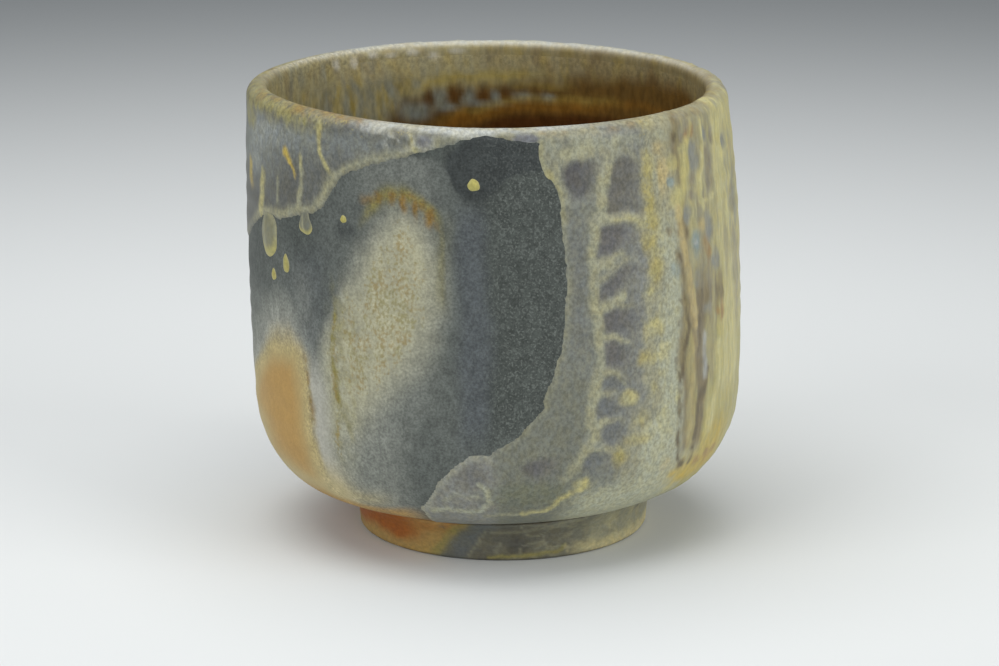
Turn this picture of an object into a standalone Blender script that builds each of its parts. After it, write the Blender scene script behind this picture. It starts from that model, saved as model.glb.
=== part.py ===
"""A wood-fired whisky cup: a thrown stoneware cup on a turned foot ring, lined with a clear amber
glaze and coated outside with ash glaze that leaves a window of bare clay.

Metres, +Z up. The origin is on the wheel axis, on the plane that the foot stands on. The front of
the cup, where the bare clay shows, faces -Y.
"""

import math

import bmesh
import bpy
import numpy as np

MM = 0.001

# Driving dimensions of the finished cup, measured over its glazes
HEIGHT = 76.3 * MM  # table to the top of the lip
RIM_RADIUS = 40.2 * MM  # outside of the lip
BASE_RADIUS = 41.1 * MM  # outside of the wall where the rounded corner begins
BELLY_BULGE = 0.75 * MM  # how far the wall swells past the straight line between those two
WALL = 4.4 * MM  # wall from glaze to glaze; the lip is a full round of this thickness
CORNER_RISE = 16.6 * MM  # height of the rounded corner under the wall
UNDERSIDE_RUN = 2.0 * MM  # width of the sloping underside between the corner and the foot's seat
UNDERSIDE_RISE = 2.0 * MM  # how far that slope rises from the seat
FLOOR = 6.0 * MM  # floor from the foot's seat to the liner's surface
INNER_CORNER = 15.0 * MM  # radius between the inside wall and the floor

# Foot ring
FOOT_HEIGHT = 6.8 * MM
FOOT_RADIUS = 25.3 * MM  # outside, where it meets the cup
FOOT_TAPER = 0.7 * MM  # how much narrower the outside is at the table
FOOT_WIDTH = 5.0 * MM  # from the outside to the bore
FOOT_EDGE = 0.8 * MM  # rounding of the two edges that the ring stands on
FOOT_SHIFT = 1.0 * MM  # the foot was turned this far off the wheel axis, towards +X
SEAT_MARGIN = 0.5 * MM  # flat seat left clear round the foot

# Glazes
GLAZE = 0.4 * MM  # thickness of the liner and of the ash coat
GAP = 0.3 * MM  # clearance between pieces that touch

# How the fired cup stands off true
LEAN = 1.8 * MM  # the rim lies this far towards -X of the wheel axis
SEAT_TILT = math.radians(0.9)  # the foot's seat rises towards +X
RIM_RISE = 0.9 * MM  # the lip stands this much higher in its left front quarter
RIM_RISE_AT = math.radians(-58)
RIM_RISE_SPREAD = math.radians(40)
RIGHT_SWELL = 0.4 * MM  # the belly swells this much more on the +X side

# Edge of the ash coat, as (degrees round from the front, share of the height up to the lip). It
# starts low at the back, climbs round the left side and runs round the window of bare clay.
COAT_EDGE_BACK = (
    (-196, -0.06),
    (-188, 0.22),
    (-168, 0.42),
    (-140, 0.55),
    (-112, 0.60),
    (-90, 0.66),
)
COAT_EDGE_FRONT = (
    (-90, 0.66),
    (-71, 0.745),
    (-54, 0.785),
    (-44, 0.815),
    (-37, 0.895),
    (-24, 0.945),
    (-9, 0.975),
    (11, 0.975),
    (13, 0.93),
    (16, 0.85),
    (17, 0.72),
    (15.5, 0.57),
    (11, 0.43),
    (4, 0.35),
    (-6, 0.31),
    (-14, 0.24),
    (-19, 0.16),
    (-19, -0.06),
)
CUTTER_MARGIN = 20 * MM  # how far a window cutter passes the outside of the wall
CUTTER_OVERLAP = 1.0 * MM  # how far a cutter passes the middle, to join the other one
EDGE_RESOLUTION = 3  # straight pieces between two points of the coat's edge

TURN_STEPS = 56  # facets round the cup
LIP_STEPS = 6
WALL_STEPS = 4
CORNER_STEPS = 6
EDGE_STEPS = 2
SMOOTH_ANGLE = math.radians(40)
MERGE_DISTANCE = 0.003 * MM

# Heights and radii that follow from the dimensions above
LIP_RADIUS = WALL / 2
LIP_Z = HEIGHT - LIP_RADIUS
SEAT_Z = FOOT_HEIGHT + GAP
SEAT_RADIUS = FOOT_RADIUS + FOOT_SHIFT + SEAT_MARGIN
SKIN = GLAZE + GAP  # from a finished surface to the clay under it
CORNER_LOW_Z = FOOT_HEIGHT - GLAZE + UNDERSIDE_RISE
CORNER_HIGH_Z = CORNER_LOW_Z + CORNER_RISE
CORNER_LOW_RADIUS = SEAT_RADIUS + UNDERSIDE_RUN
FLOOR_Z = SEAT_Z + FLOOR
CUTTER_DEPTH = BASE_RADIUS + CUTTER_MARGIN


def arc(centre, radii, start, stop, steps):
    """Points on an elliptic arc, as (radius, height), from start to stop in degrees."""
    angles = np.radians(np.linspace(start, stop, steps + 1))
    return [
        (centre[0] + radii[0] * math.cos(a), centre[1] + radii[1] * math.sin(a)) for a in angles
    ]


def wall_radius(z):
    """Outside radius of the finished wall: a straight taper with a parabolic bulge."""
    up = (z - CORNER_HIGH_Z) / (LIP_Z - CORNER_HIGH_Z)
    return BASE_RADIUS + (RIM_RADIUS - BASE_RADIUS) * up + BELLY_BULGE * 4 * up * (1 - up)


def lip_profile(depth):
    """The round of the lip, from inside to outside, this far under the finished surface."""
    radius = LIP_RADIUS - depth
    return arc((RIM_RADIUS - LIP_RADIUS, LIP_Z), (radius, radius), 180, 0, LIP_STEPS)


def outside_profile(depth):
    """The wall below the lip and its rounded corner, top to bottom, under the finished surface."""
    heights = np.linspace(LIP_Z, CORNER_HIGH_Z, WALL_STEPS + 1)[1:-1]
    wall = [(wall_radius(z) - depth, z) for z in heights]
    run = wall_radius(CORNER_HIGH_Z) - CORNER_LOW_RADIUS
    corner = arc(
        (CORNER_LOW_RADIUS, CORNER_HIGH_Z), (run - depth, CORNER_RISE - depth), 0, -90, CORNER_STEPS
    )
    return wall + corner


def inside_profile(depth):
    """The inside from the floor's middle up to the lip, this far under the finished surface."""
    corner_z = FLOOR_Z + INNER_CORNER
    corner_radius = wall_radius(corner_z) - WALL - INNER_CORNER
    reach = INNER_CORNER + depth
    corner = arc((corner_radius, corner_z), (reach, reach), -90, 0, CORNER_STEPS)
    heights = np.linspace(corner_z, LIP_Z, WALL_STEPS)[1:-1]
    wall = [(wall_radius(z) - WALL + depth, z) for z in heights]
    return [(0.0, FLOOR_Z - depth)] + corner + wall


def settle(points):
    """Moves wheel-true points to where firing left them: the wall leans, the seat tilts, the lip
    waves and the belly swells on one side. Every piece moves in the same field, so fits are kept."""
    x, y, z = points.T
    up = z / HEIGHT
    turn = np.arctan2(x, -y)
    away = np.angle(np.exp(1j * (turn - RIM_RISE_AT)))
    rise = RIM_RISE * np.exp(-((away / RIM_RISE_SPREAD) ** 2)) * up**4
    below = z / FOOT_HEIGHT
    above = (HEIGHT - z) / (HEIGHT - FOOT_HEIGHT)
    tilt = math.tan(SEAT_TILT) * x * np.minimum(below, above)
    swell = RIGHT_SWELL * np.clip(np.sin(turn), 0, 1) ** 2 * np.sin(math.pi * np.clip(up, 0, 1)) ** 2
    stretch = 1 + swell / BASE_RADIUS
    return np.column_stack((x * stretch - LEAN * up**2, y * stretch, z + rise + tilt))


def collection_named(name):
    """A new collection in the scene."""
    collection = bpy.data.collections.new(name)
    bpy.context.scene.collection.children.link(collection)
    return collection


def finish_material(name, colour, roughness):
    """A Principled BSDF in one fired colour. Neither clay nor glaze is metallic."""
    material = bpy.data.materials.new(name)
    material.use_nodes = True
    shader = material.node_tree.nodes["Principled BSDF"]
    shader.inputs["Base Color"].default_value = (*colour, 1.0)
    shader.inputs["Roughness"].default_value = roughness
    shader.inputs["Metallic"].default_value = 0.0
    return material


def evaluated_mesh(obj):
    """A mesh of the object as its modifiers leave it."""
    graph = bpy.context.evaluated_depsgraph_get()
    return bpy.data.meshes.new_from_object(obj.evaluated_get(graph))


def turned(name, collection, material, profile, closed=False, centre_x=0.0):
    """One turned piece: a profile of (radius, height) points spun round, then settled. The profile
    runs down its outer side. It is closed on itself, or ends on the axis."""
    count = len(profile)
    edges = [(i, i + 1) for i in range(count - 1)]
    if closed:
        edges.append((count - 1, 0))
    outline = bpy.data.meshes.new(name + "_profile")
    outline.from_pydata([(radius, 0.0, z) for radius, z in profile], edges, [])
    blank = bpy.data.objects.new(name + "_blank", outline)
    collection.objects.link(blank)
    turn = blank.modifiers.new("Turn", "SCREW")
    turn.steps = turn.render_steps = TURN_STEPS
    turn.use_merge_vertices = True
    turn.merge_threshold = MERGE_DISTANCE
    mesh = evaluated_mesh(blank)
    bpy.data.objects.remove(blank)
    bpy.data.meshes.remove(outline)

    mesh.name = name
    points = np.empty(len(mesh.vertices) * 3)
    mesh.vertices.foreach_get("co", points)
    centre = np.array((centre_x, 0.0, 0.0))
    settled = settle(points.reshape(-1, 3) + centre) - centre
    mesh.vertices.foreach_set("co", settled.ravel())
    mesh.shade_smooth()
    mesh.set_sharp_from_angle(angle=SMOOTH_ANGLE)
    mesh.materials.append(material)
    piece = bpy.data.objects.new(name, mesh)
    piece.location = centre
    collection.objects.link(piece)
    return piece


def window_cutter(name, collection, edge, corners, side):
    """A prism through the front wall (side -1) or the back wall (side 1): everything between the
    coat's edge and the given (x, z) corners."""
    outline = [(BASE_RADIUS * math.sin(math.radians(turn)), LIP_Z * up) for turn, up in edge]
    curve = bpy.data.curves.new(name, "CURVE")
    curve.dimensions = "2D"
    curve.fill_mode = "BOTH"
    curve.extrude = CUTTER_DEPTH / 2
    curve.resolution_u = EDGE_RESOLUTION
    spline = curve.splines.new("BEZIER")
    spline.bezier_points.add(len(outline) + len(corners) - 1)
    spline.use_cyclic_u = True
    for point, (x, z) in zip(spline.bezier_points, outline + corners):
        point.co = (x, z, 0.0)
        handle = "AUTO" if (x, z) in outline[1:-1] else "VECTOR"
        point.handle_left_type = point.handle_right_type = handle
    flat = bpy.data.objects.new(name + "_outline", curve)
    collection.objects.link(flat)
    flat.rotation_euler = (math.pi / 2, 0.0, 0.0)
    flat.location.y = side * (CUTTER_DEPTH / 2 - CUTTER_OVERLAP)
    bpy.context.view_layer.update()

    mesh = evaluated_mesh(flat)
    shape = bmesh.new()
    shape.from_mesh(mesh)
    bmesh.ops.remove_doubles(shape, verts=shape.verts, dist=MERGE_DISTANCE)
    bmesh.ops.recalc_face_normals(shape, faces=shape.faces)
    shape.to_mesh(mesh)
    shape.free()
    cutter = bpy.data.objects.new(name, mesh)
    cutter.matrix_world = flat.matrix_world
    bpy.data.objects.remove(flat)
    collection.objects.link(cutter)
    cutter.hide_render = True
    cutter.display_type = "WIRE"
    return cutter


def cup_body(collection):
    """The thrown clay: floor, wall and lip under both glazes, with a flat seat for the foot."""
    clay = finish_material("dark_stoneware", (0.085, 0.095, 0.10), 0.62)
    seat = [(SEAT_RADIUS, SEAT_Z), (0.0, SEAT_Z)]
    profile = inside_profile(SKIN) + lip_profile(SKIN) + outside_profile(SKIN) + seat
    return turned("cup_body", collection, clay, profile)


def foot_ring(collection):
    """The turned foot: a tapered ring with rounded standing edges, seated under the floor."""
    clay = finish_material("flashed_stoneware", (0.36, 0.16, 0.06), 0.58)
    bore = FOOT_RADIUS - FOOT_WIDTH
    base = FOOT_RADIUS - FOOT_TAPER
    edge = (FOOT_EDGE, FOOT_EDGE)
    outer_edge = arc((base - FOOT_EDGE, FOOT_EDGE), edge, 0, -90, EDGE_STEPS)
    inner_edge = arc((bore + FOOT_EDGE, FOOT_EDGE), edge, 270, 180, EDGE_STEPS)
    profile = [(FOOT_RADIUS, FOOT_HEIGHT)] + outer_edge + inner_edge + [(bore, FOOT_HEIGHT)]
    return turned("foot_ring", collection, clay, profile, closed=True, centre_x=FOOT_SHIFT)


def liner_glaze(collection):
    """The glaze poured inside: a thin cup that stops below the lip, where the ash coat ends."""
    glaze = finish_material("amber_liner", (0.16, 0.085, 0.025), 0.28)
    top = LIP_Z - GAP
    edge = [(wall_radius(top) - WALL, top), (wall_radius(top) - WALL + GLAZE, top)]
    profile = inside_profile(0.0) + edge + inside_profile(GLAZE)[::-1]
    return turned("liner_glaze", collection, glaze, profile)


def ash_glaze_coat(collection, cutters):
    """The ash glaze outside: a thin skin over the lip and down the wall, open over the bare clay."""
    glaze = finish_material("ash_glaze", (0.30, 0.28, 0.24), 0.42)
    end_radius = (CORNER_LOW_RADIUS + SEAT_RADIUS) / 2
    end_z = CORNER_LOW_Z - UNDERSIDE_RISE / 2
    skin = lip_profile(0.0) + outside_profile(0.0) + [(end_radius, end_z)]
    under = lip_profile(GLAZE) + outside_profile(GLAZE) + [(end_radius, end_z + GLAZE)]
    coat = turned("ash_glaze_coat", collection, glaze, skin + under[::-1], closed=True)
    outside = -CUTTER_DEPTH
    low = LIP_Z * COAT_EDGE_FRONT[-1][1]
    corners = [(outside, low), (outside, LIP_Z * COAT_EDGE_FRONT[0][1])]
    front = window_cutter("front_window", cutters, COAT_EDGE_FRONT, corners, -1)
    back = window_cutter("back_window", cutters, COAT_EDGE_BACK, corners[::-1], 1)
    for cutter in (front, back):
        cut = coat.modifiers.new("Bare " + cutter.name, "BOOLEAN")
        cut.operation = "DIFFERENCE"
        cut.object = cutter
    return coat


def main():
    for obj in list(bpy.data.objects):
        bpy.data.objects.remove(obj)
    pieces = collection_named("whisky_cup")
    cutters = collection_named("cutters")
    cup_body(pieces)
    foot_ring(pieces)
    liner_glaze(pieces)
    ash_glaze_coat(pieces, cutters)


main()
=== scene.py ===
"""A wood-fired whisky cup, dressed in its fired surfaces.

The clay, the foot, the amber liner, the ash coat and its drops are worked out as numpy grids in the
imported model's frame. Shapes are reckoned in millimetres on the wheel-true cup and then settled to
where firing left them. A place on the cup is its turn, in degrees round from the front (-Y) and
positive to the right, and its rise, the height in millimetres over the table. Over the lip the rise
goes on along the surface, so that the inside of the lip has places of its own.
"""

import math
from types import SimpleNamespace

import bpy
import numpy as np
from bpy.props import FloatProperty, FloatVectorProperty, PointerProperty
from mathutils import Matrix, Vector


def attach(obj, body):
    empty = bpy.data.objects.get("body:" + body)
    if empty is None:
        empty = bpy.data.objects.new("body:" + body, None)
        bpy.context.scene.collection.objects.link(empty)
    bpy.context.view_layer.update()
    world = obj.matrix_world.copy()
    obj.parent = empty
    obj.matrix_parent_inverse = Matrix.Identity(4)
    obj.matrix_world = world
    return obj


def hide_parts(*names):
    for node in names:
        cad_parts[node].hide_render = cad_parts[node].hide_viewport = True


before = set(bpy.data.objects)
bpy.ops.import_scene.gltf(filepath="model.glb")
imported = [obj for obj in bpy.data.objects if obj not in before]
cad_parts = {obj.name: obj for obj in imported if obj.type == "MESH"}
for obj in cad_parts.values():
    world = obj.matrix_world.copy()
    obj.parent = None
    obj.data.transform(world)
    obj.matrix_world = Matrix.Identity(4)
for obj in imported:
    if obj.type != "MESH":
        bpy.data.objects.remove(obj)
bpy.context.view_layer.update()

bl_info = {
    "name": "Whisky cup",
    "version": (1, 0, 0),
    "blender": (4, 5, 0),
    "location": "View3D > Sidebar > Whisky cup",
    "description": "Builds a wood-fired stoneware whisky cup with its glazes, and a plain stage",
    "category": "Add Mesh",
}

MM = 0.001
BODY = "root"

# Where the lip stands highest, and how far round that fades, in degrees
RIM_RISE_TURN = -58.0
RIM_RISE_SPREAD = 40.0

# Where the coat and the liner meet under the lip, in millimetres: how far down, how fast each dips
# under the other past it, where the coat's relief fades, and the coat's first and third rows
MEET_DROP = 0.65
MEET_SLOPE = 0.08
MEET_FADE = 2.0
TUCK_DROP = 0.6
LIP_DROP = 0.3

# Rows and columns of the grids. The inside's rows are for its wall, corner and floor. The clay goes
# without the outside's first rows, which are tucked under the lip
LIP_ROWS = 9
WALL_ROWS = 98
CORNER_ROWS = 42
SLOPE_ROWS = 4
TUCKED = 3
FRONT_REACH = 92
FRONT_COLUMNS = 336
BACK_COLUMNS = 68
LINER_ROWS = (73, 40, 22)
BACKING_ROWS = (12, 9, 4)
LINER_COLUMNS = 400
FOOT_SIDE_ROWS = 24
FOOT_EDGE_ROWS = 7
FOOT_BORE_ROWS = 8
FOOT_COLUMNS = 320
DROP_RINGS = 14
DROP_SPOKES = 40

# Side of the square blocks that the coat is kept or left out in, in grid steps
BLOCK = 4

# Relief of the wall and of the coat, in millimetres: slow swells, how far the clay sinks under the
# coat and the coat stands over it, the coat's rounded edge, its roll, and how it dips past the edge
SWELL_DEPTH = 0.09
CLAY_SINK = 0.10
COAT_PROUD = 0.04
COAT_BACKING = 0.1
EDGE_WIDTH = 0.9
EDGE_ROLL = 0.05
EDGE_DIP = 0.25
DIP_SLOPE = 0.8
KEEP_PAST = 0.5
END_MARGIN = 0.7

# Relief of the liner, the foot and the drops, in millimetres
RUN_HEIGHT = 0.07
LINER_SWELL = 0.06
FLARE = 1.15
FLARE_RISE = 4.0
TOOL_RIPPLE = 0.02
FOOT_SWELL = 0.09
FOOT_GRAIN = 0.02
DROP_SINK = 0.22
DROP_ROOT = 1.0

# The stage: the floor's rings in millimetres, where it greys in metres, the lamps as name, place,
# aim and size in metres and watts, the room's light, and the camera's sensor and nearest distance
FLOOR_INNER = 60.0
FLOOR_OUTER = 6000.0
FLOOR_RINGS = 40
FLOOR_COLUMNS = 96
FLOOR_FADE = (0.10, 0.62)
LAMPS = (
    ("lamp_over", (-0.10, -0.05, 0.85), (0.0, 0.0, 0.03), 0.90, 5.7),
    ("lamp_left", (-0.75, -0.65, 0.55), (0.0, 0.0, 0.04), 0.7, 4.1),
    ("lamp_right", (0.85, -0.55, 0.45), (0.0, 0.0, 0.04), 0.7, 4.9),
)
ROOM_COLOUR = (0.95, 0.98, 1.0, 1.0)
ROOM_STRENGTH = 0.29
SENSOR_WIDTH = 36.0
CLIP_START = 0.01


# Settings

def length(name, millimetres, description):
    """A length property, given in millimetres and kept in metres."""
    return FloatProperty(
        name=name, description=description, default=millimetres * MM, unit="LENGTH", precision=5
    )


def tint(name, colour, description):
    """A colour property, as a linear reflectance."""
    return FloatVectorProperty(
        name=name, description=description, default=colour, subtype="COLOR", size=3, min=0.0, max=1.0
    )


class WHISKYCUP_PG_shape(bpy.types.PropertyGroup):
    """Sizes of the finished cup, measured over its glazes"""

    height: length("Height", 76.3, "Table to the top of the lip")
    rim_radius: length("Rim radius", 40.2, "Outside of the lip")
    base_radius: length("Base radius", 41.1, "Outside of the wall where the rounded corner begins")
    belly_bulge: length("Belly bulge", 0.75, "How far the wall swells past a straight taper")
    wall: length("Wall", 4.4, "Wall from glaze to glaze, and the thickness of the round lip")
    corner_rise: length("Corner rise", 16.6, "Height of the rounded corner under the wall")
    underside_run: length("Underside run", 2.0, "Width of the slope between the corner and the seat")
    underside_rise: length("Underside rise", 2.0, "How far that slope rises from the seat")
    floor: length("Floor", 6.0, "Floor from the foot's seat to the liner's surface")
    inner_corner: length("Inner corner", 15.0, "Radius between the inside wall and the floor")
    foot_height: length("Foot height", 6.8, "Height of the foot ring")
    foot_radius: length("Foot radius", 25.3, "Outside of the foot where it meets the cup")
    foot_taper: length("Foot taper", 0.7, "How much narrower the foot is at the table")
    foot_width: length("Foot width", 5.0, "From the outside of the foot to its bore")
    foot_edge: length("Foot edge", 0.8, "Rounding of the edges that the foot stands on")
    foot_shift: length("Foot shift", 1.0, "How far off the wheel axis the foot was turned")
    seat_margin: length("Seat margin", 0.5, "Flat seat left clear round the foot")
    glaze: length("Glaze", 0.4, "Thickness of the liner and of the ash coat")
    gap: length("Gap", 0.3, "Clearance between pieces")
    lean: length("Lean", 1.8, "How far the rim lies to the left of the wheel axis")
    rim_rise: length("Rim rise", 0.9, "How much higher the lip stands in its left front quarter")
    right_swell: length("Right swell", 0.4, "How much more the belly swells on the right")
    seat_tilt: FloatProperty(
        name="Seat tilt",
        description="How steeply the foot's seat rises to the right",
        default=math.radians(0.9),
        subtype="ANGLE",
    )
    bare_depth: length("Bare depth", 0.15, "How far the bare clay lies under the ash coat's surface")
    ring_depth: length("Throwing rings", 0.05, "Height of the rings that the potter's fingers left")
    inner_lip_run: length("Inner lip width", 1.3, "From the crest of the lip to the inside wall")
    inner_lip_rise: length("Inner lip rise", 1.6, "From the top of the inside wall to the crest of the lip")
    thin_from: length("Thinning height", 58.0, "Where the wall begins to thin towards the lip")


class WHISKYCUP_PG_clay(bpy.types.PropertyGroup):
    """Colours of the bare clay in the window and of its flashing"""

    grey: tint("Grey clay", (0.100, 0.111, 0.101), "Plain reduced clay")
    dark: tint("Dark clay", (0.060, 0.069, 0.062), "Clay on the right of the window")
    # Darkest clay: clay sheltered from the ash under the lip, and also painted shade below two drops
    darkest: tint("Darkest clay", (0.038, 0.044, 0.043), "Clay sheltered under the lip")
    blue: tint("Blue clay", (0.083, 0.094, 0.099), "Bands of bluer clay")
    crystal: tint("Crystals", (0.21, 0.23, 0.21), "Fine pale crystals")
    mist: tint("Thin bloom", (0.235, 0.246, 0.213), "Thin ash round the bloom")
    bloom: tint("Ash bloom", (0.425, 0.408, 0.276), "Pale bloom of fine ash")
    ochre: tint("Ochre", (0.268, 0.186, 0.044), "Streaks of iron in the bloom")
    olive: tint("Olive", (0.222, 0.194, 0.050), "Specks and faint bands of iron in the bloom")
    lavender: tint("Lavender streak", (0.415, 0.408, 0.352), "Pale streak beside the flashing")
    flash: tint("Flashing", (0.420, 0.260, 0.083), "Orange kiln flashing")
    flash_edge: tint("Flashing edge", (0.420, 0.345, 0.165), "Straw edge of the flashing")
    flash_pale: tint("Pale flashing", (0.475, 0.410, 0.225), "Flashing that fades round the left side")
    flash_mist: tint("Mist over the flashing", (0.285, 0.290, 0.250), "White ash over the flashing")
    umber: tint("Umber", (0.196, 0.118, 0.028), "Dark iron on the bloom and at the edge of the flashing")
    earth: tint("Earth", (0.215, 0.160, 0.105), "Brown clay at the back")
    underside: tint("Underside", (0.30, 0.16, 0.07), "Flashed clay beside the foot")


class WHISKYCUP_PG_ash(bpy.types.PropertyGroup):
    """Colours of the ash coat"""

    grey: tint("Grey coat", (0.188, 0.194, 0.160), "Plain grey coat")
    lavender: tint("Lavender coat", (0.108, 0.110, 0.098), "Grey-lavender coat on the left")
    # Mist: a pale bluish coat; its spots high on the left also carry painted sheen
    mist: tint("Mist", (0.215, 0.232, 0.216), "Pale bluish coat under the lip")
    # Sheen is painted light: a milky, bluish reflection on the left of the coat under the lip
    sheen: tint("Sheen", (0.280, 0.298, 0.280), "Milky coat on the left under the lip")
    moss: tint("Moss", (0.160, 0.165, 0.130), "Olive-grey coat low beside the window")
    bed: tint("Pool bed", (0.182, 0.186, 0.164), "Coat between the pools")
    pool: tint("Pools", (0.090, 0.087, 0.087), "Darkest pool between the veins")
    pool_brown: tint("Brown pool", (0.126, 0.121, 0.102), "Browner pool on the right")
    pool_grey: tint("Grey pools", (0.116, 0.112, 0.108), "Grey pools down the column")
    pool_blue: tint("Blue pools", (0.138, 0.146, 0.142), "Bluer pools low in the column")
    # Veins: pale raised veins, also laid as a painted highlight streak on the glassy drops
    vein: tint("Veins", (0.350, 0.340, 0.215), "Pale raised veins")
    straw: tint("Straw", (0.480, 0.435, 0.190), "Straw-yellow walls and blotches")
    gold: tint("Gold", (0.490, 0.363, 0.070), "Yellow drips and crusts")
    ochre: tint("Ochre", (0.385, 0.328, 0.108), "Ochre blotches and specks")
    tawny: tint("Tawny", (0.480, 0.390, 0.190), "Orange-beige run")
    brown: tint("Brown", (0.202, 0.164, 0.095), "Brown runs")
    rust: tint("Rust", (0.340, 0.220, 0.095), "Orange-brown crusts")
    umber: tint("Umber", (0.130, 0.104, 0.060), "Dark brown edges of the runs")
    mauve: tint("Mauve", (0.255, 0.230, 0.170), "Brown-grey cells between the straw walls")
    cell: tint("Cells", (0.250, 0.256, 0.228), "Lavender-grey cells between the straw walls")
    eye: tint("Blue cells", (0.240, 0.295, 0.285), "Blue cells with milky middles")
    lilac: tint("Lilac", (0.400, 0.415, 0.395), "Pale lavender streak")
    sky: tint("Blue-grey", (0.380, 0.385, 0.278), "Blue-grey streak")
    cream: tint("Cream", (0.545, 0.505, 0.255), "Cream band on the right")
    wheat: tint("Wheat", (0.334, 0.312, 0.196), "Pale brown coat under the right of the lip")
    lichen: tint("Lichen", (0.402, 0.368, 0.160), "Yellow-green coat low on the right")
    drab: tint("Drab", (0.290, 0.284, 0.200), "Coat between the pools and the blue-grey streak")
    olive: tint("Olive", (0.155, 0.164, 0.112), "Dark olive coat near the foot")
    foam: tint("Foam", (0.385, 0.390, 0.280), "Pale coat above the foot")
    tongue: tint("Tongue", (0.218, 0.219, 0.196), "Warm grey tongue at the foot of the window")
    lens: tint("Lens", (0.180, 0.183, 0.190), "Glassy patches at the top of the window")
    drop: tint("Drops", (0.440, 0.390, 0.110), "Yellow-green drops on the clay")
    # Rim: pale ash and white specks; on the top of the lip at front and back it is also laid as a painted
    # highlight
    rim: tint("Rim", (0.430, 0.440, 0.400), "Pale ash on the front of the lip")
    rim_straw: tint("Rim straw", (0.280, 0.256, 0.108), "Yellow ash on the left of the lip")
    rim_brown: tint("Rim brown", (0.250, 0.155, 0.048), "Brown inner edge of the lip")


class WHISKYCUP_PG_liner(bpy.types.PropertyGroup):
    """Colours of the glossy liner"""

    tan: tint("Tan", (0.318, 0.280, 0.148), "Tan upper wall")
    # Pale: pale runs under the lip, partly painted highlights, and a painted highlight along the top of the
    # lip
    pale: tint("Pale", (0.500, 0.470, 0.370), "Pale runs under the lip")
    honey: tint("Honey", (0.330, 0.254, 0.064), "Yellow edges of the bands")
    amber: tint("Amber", (0.215, 0.098, 0.015), "Amber band")
    brown: tint("Brown", (0.120, 0.067, 0.018), "Brown glaze on the right")
    dark: tint("Dark brown", (0.072, 0.027, 0.007), "Deep glaze lower down")
    milky: tint("Milky", (0.190, 0.200, 0.168), "Blue-grey milky patches")


class WHISKYCUP_PG_foot(bpy.types.PropertyGroup):
    """Colours of the foot ring"""

    flash: tint("Flashing", (0.345, 0.104, 0.012), "Orange-red flashing")
    tawny: tint("Tawny", (0.410, 0.285, 0.096), "Tawny lower edge and right end of the flashing")
    amber: tint("Amber", (0.400, 0.190, 0.045), "Orange patch at the end of the flashing")
    straw: tint("Straw", (0.520, 0.460, 0.250), "Straw runs")
    lichen: tint("Lichen", (0.290, 0.255, 0.080), "Yellow-green runs")
    slate: tint("Slate", (0.134, 0.144, 0.136), "Blue-grey run")
    olive: tint("Olive", (0.145, 0.137, 0.100), "Olive-brown coat")
    # Shade: darkest patches of the coat, and also a painted shadow along the edge the foot stands on
    shade: tint("Shade", (0.095, 0.090, 0.070), "Darkest patches of the coat")
    sage: tint("Sage", (0.262, 0.256, 0.176), "Grey-green coat on the right")


class WHISKYCUP_PG_stage(bpy.types.PropertyGroup):
    """The floor, the lamps and the camera"""

    floor_near: tint("Floor", (0.74, 0.76, 0.76), "Floor round the cup")
    floor_far: tint("Floor far off", (0.24, 0.255, 0.265), "Floor far behind the cup")
    camera_back: length("Camera distance", 629.65, "Camera in front of the wheel axis")
    camera_height: length("Camera height", 200.58, "Camera over the table")
    aim_height: length("Aim height", 32.82, "Where the camera points, over the table")
    aim_side: length("Aim side", 0.41, "Where the camera stands and points, right of the wheel axis")
    lens: FloatProperty(
        name="Lens",
        description="Focal length on a 36 mm sensor",
        default=137.74,
        subtype="DISTANCE_CAMERA",
    )


class WHISKYCUP_PG_settings(bpy.types.PropertyGroup):
    """All settings of the cup and its stage"""

    shape: PointerProperty(type=WHISKYCUP_PG_shape, name="Shape", description="Sizes of the cup")
    clay: PointerProperty(type=WHISKYCUP_PG_clay, name="Clay", description="Colours of bare clay")
    ash: PointerProperty(type=WHISKYCUP_PG_ash, name="Ash coat", description="Colours of the coat")
    liner: PointerProperty(type=WHISKYCUP_PG_liner, name="Liner", description="Colours inside")
    foot: PointerProperty(type=WHISKYCUP_PG_foot, name="Foot", description="Colours of the foot")
    stage: PointerProperty(type=WHISKYCUP_PG_stage, name="Stage", description="Floor and camera")


# Layout of the fired surface, as places (turn in degrees, rise in millimetres)

# Edge of the window of bare clay, from the back round the left side to the front and down again
WINDOW_EDGE = (
    (-196, -12), (-193, 12), (-187, 21), (-178, 29), (-165, 35), (-150, 39.5), (-135, 42), (-120, 45),
    (-105, 47.5), (-95, 49.5), (-88, 50.4), (-80.3, 51.8), (-75, 53.8), (-70.9, 55.7), (-66, 57.4),
    (-58.3, 57.8), (-53.9, 58.5), (-49.3, 59.6), (-44, 60.4), (-40.6, 61.9), (-38.9, 64.2),
    (-36.7, 66.3), (-32.6, 68.3), (-26.9, 69.9), (-22.5, 70.7), (-18.1, 71.8), (-13.1, 72.6),
    (-9, 73.6), (-5.8, 74.6), (-1.7, 75.1), (3.6, 75.3), (4.8, 74.9), (5.8, 74.6), (8, 74.4),
    (11.9, 74.2), (11.9, 72.8), (12.2, 70.7), (13.5, 68.9), (15.1, 67), (15.9, 65.5), (16.4, 59.8),
    (16.9, 56.8), (16.9, 52.2), (16.6, 49.3), (15.6, 42.1), (14.6, 39.2), (12.7, 35.6), (11.2, 33.4),
    (10.9, 31.2), (9.2, 29.7), (4, 25.9), (0.6, 24.4), (-1.6, 23.2), (-3.2, 23.5), (-6.1, 23),
    (-8.7, 21.9), (-11.5, 19.7), (-13.9, 18.1), (-15.3, 15.9), (-19.5, 12.6), (-19.3, 10.6), (-19, -12),
)

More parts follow.
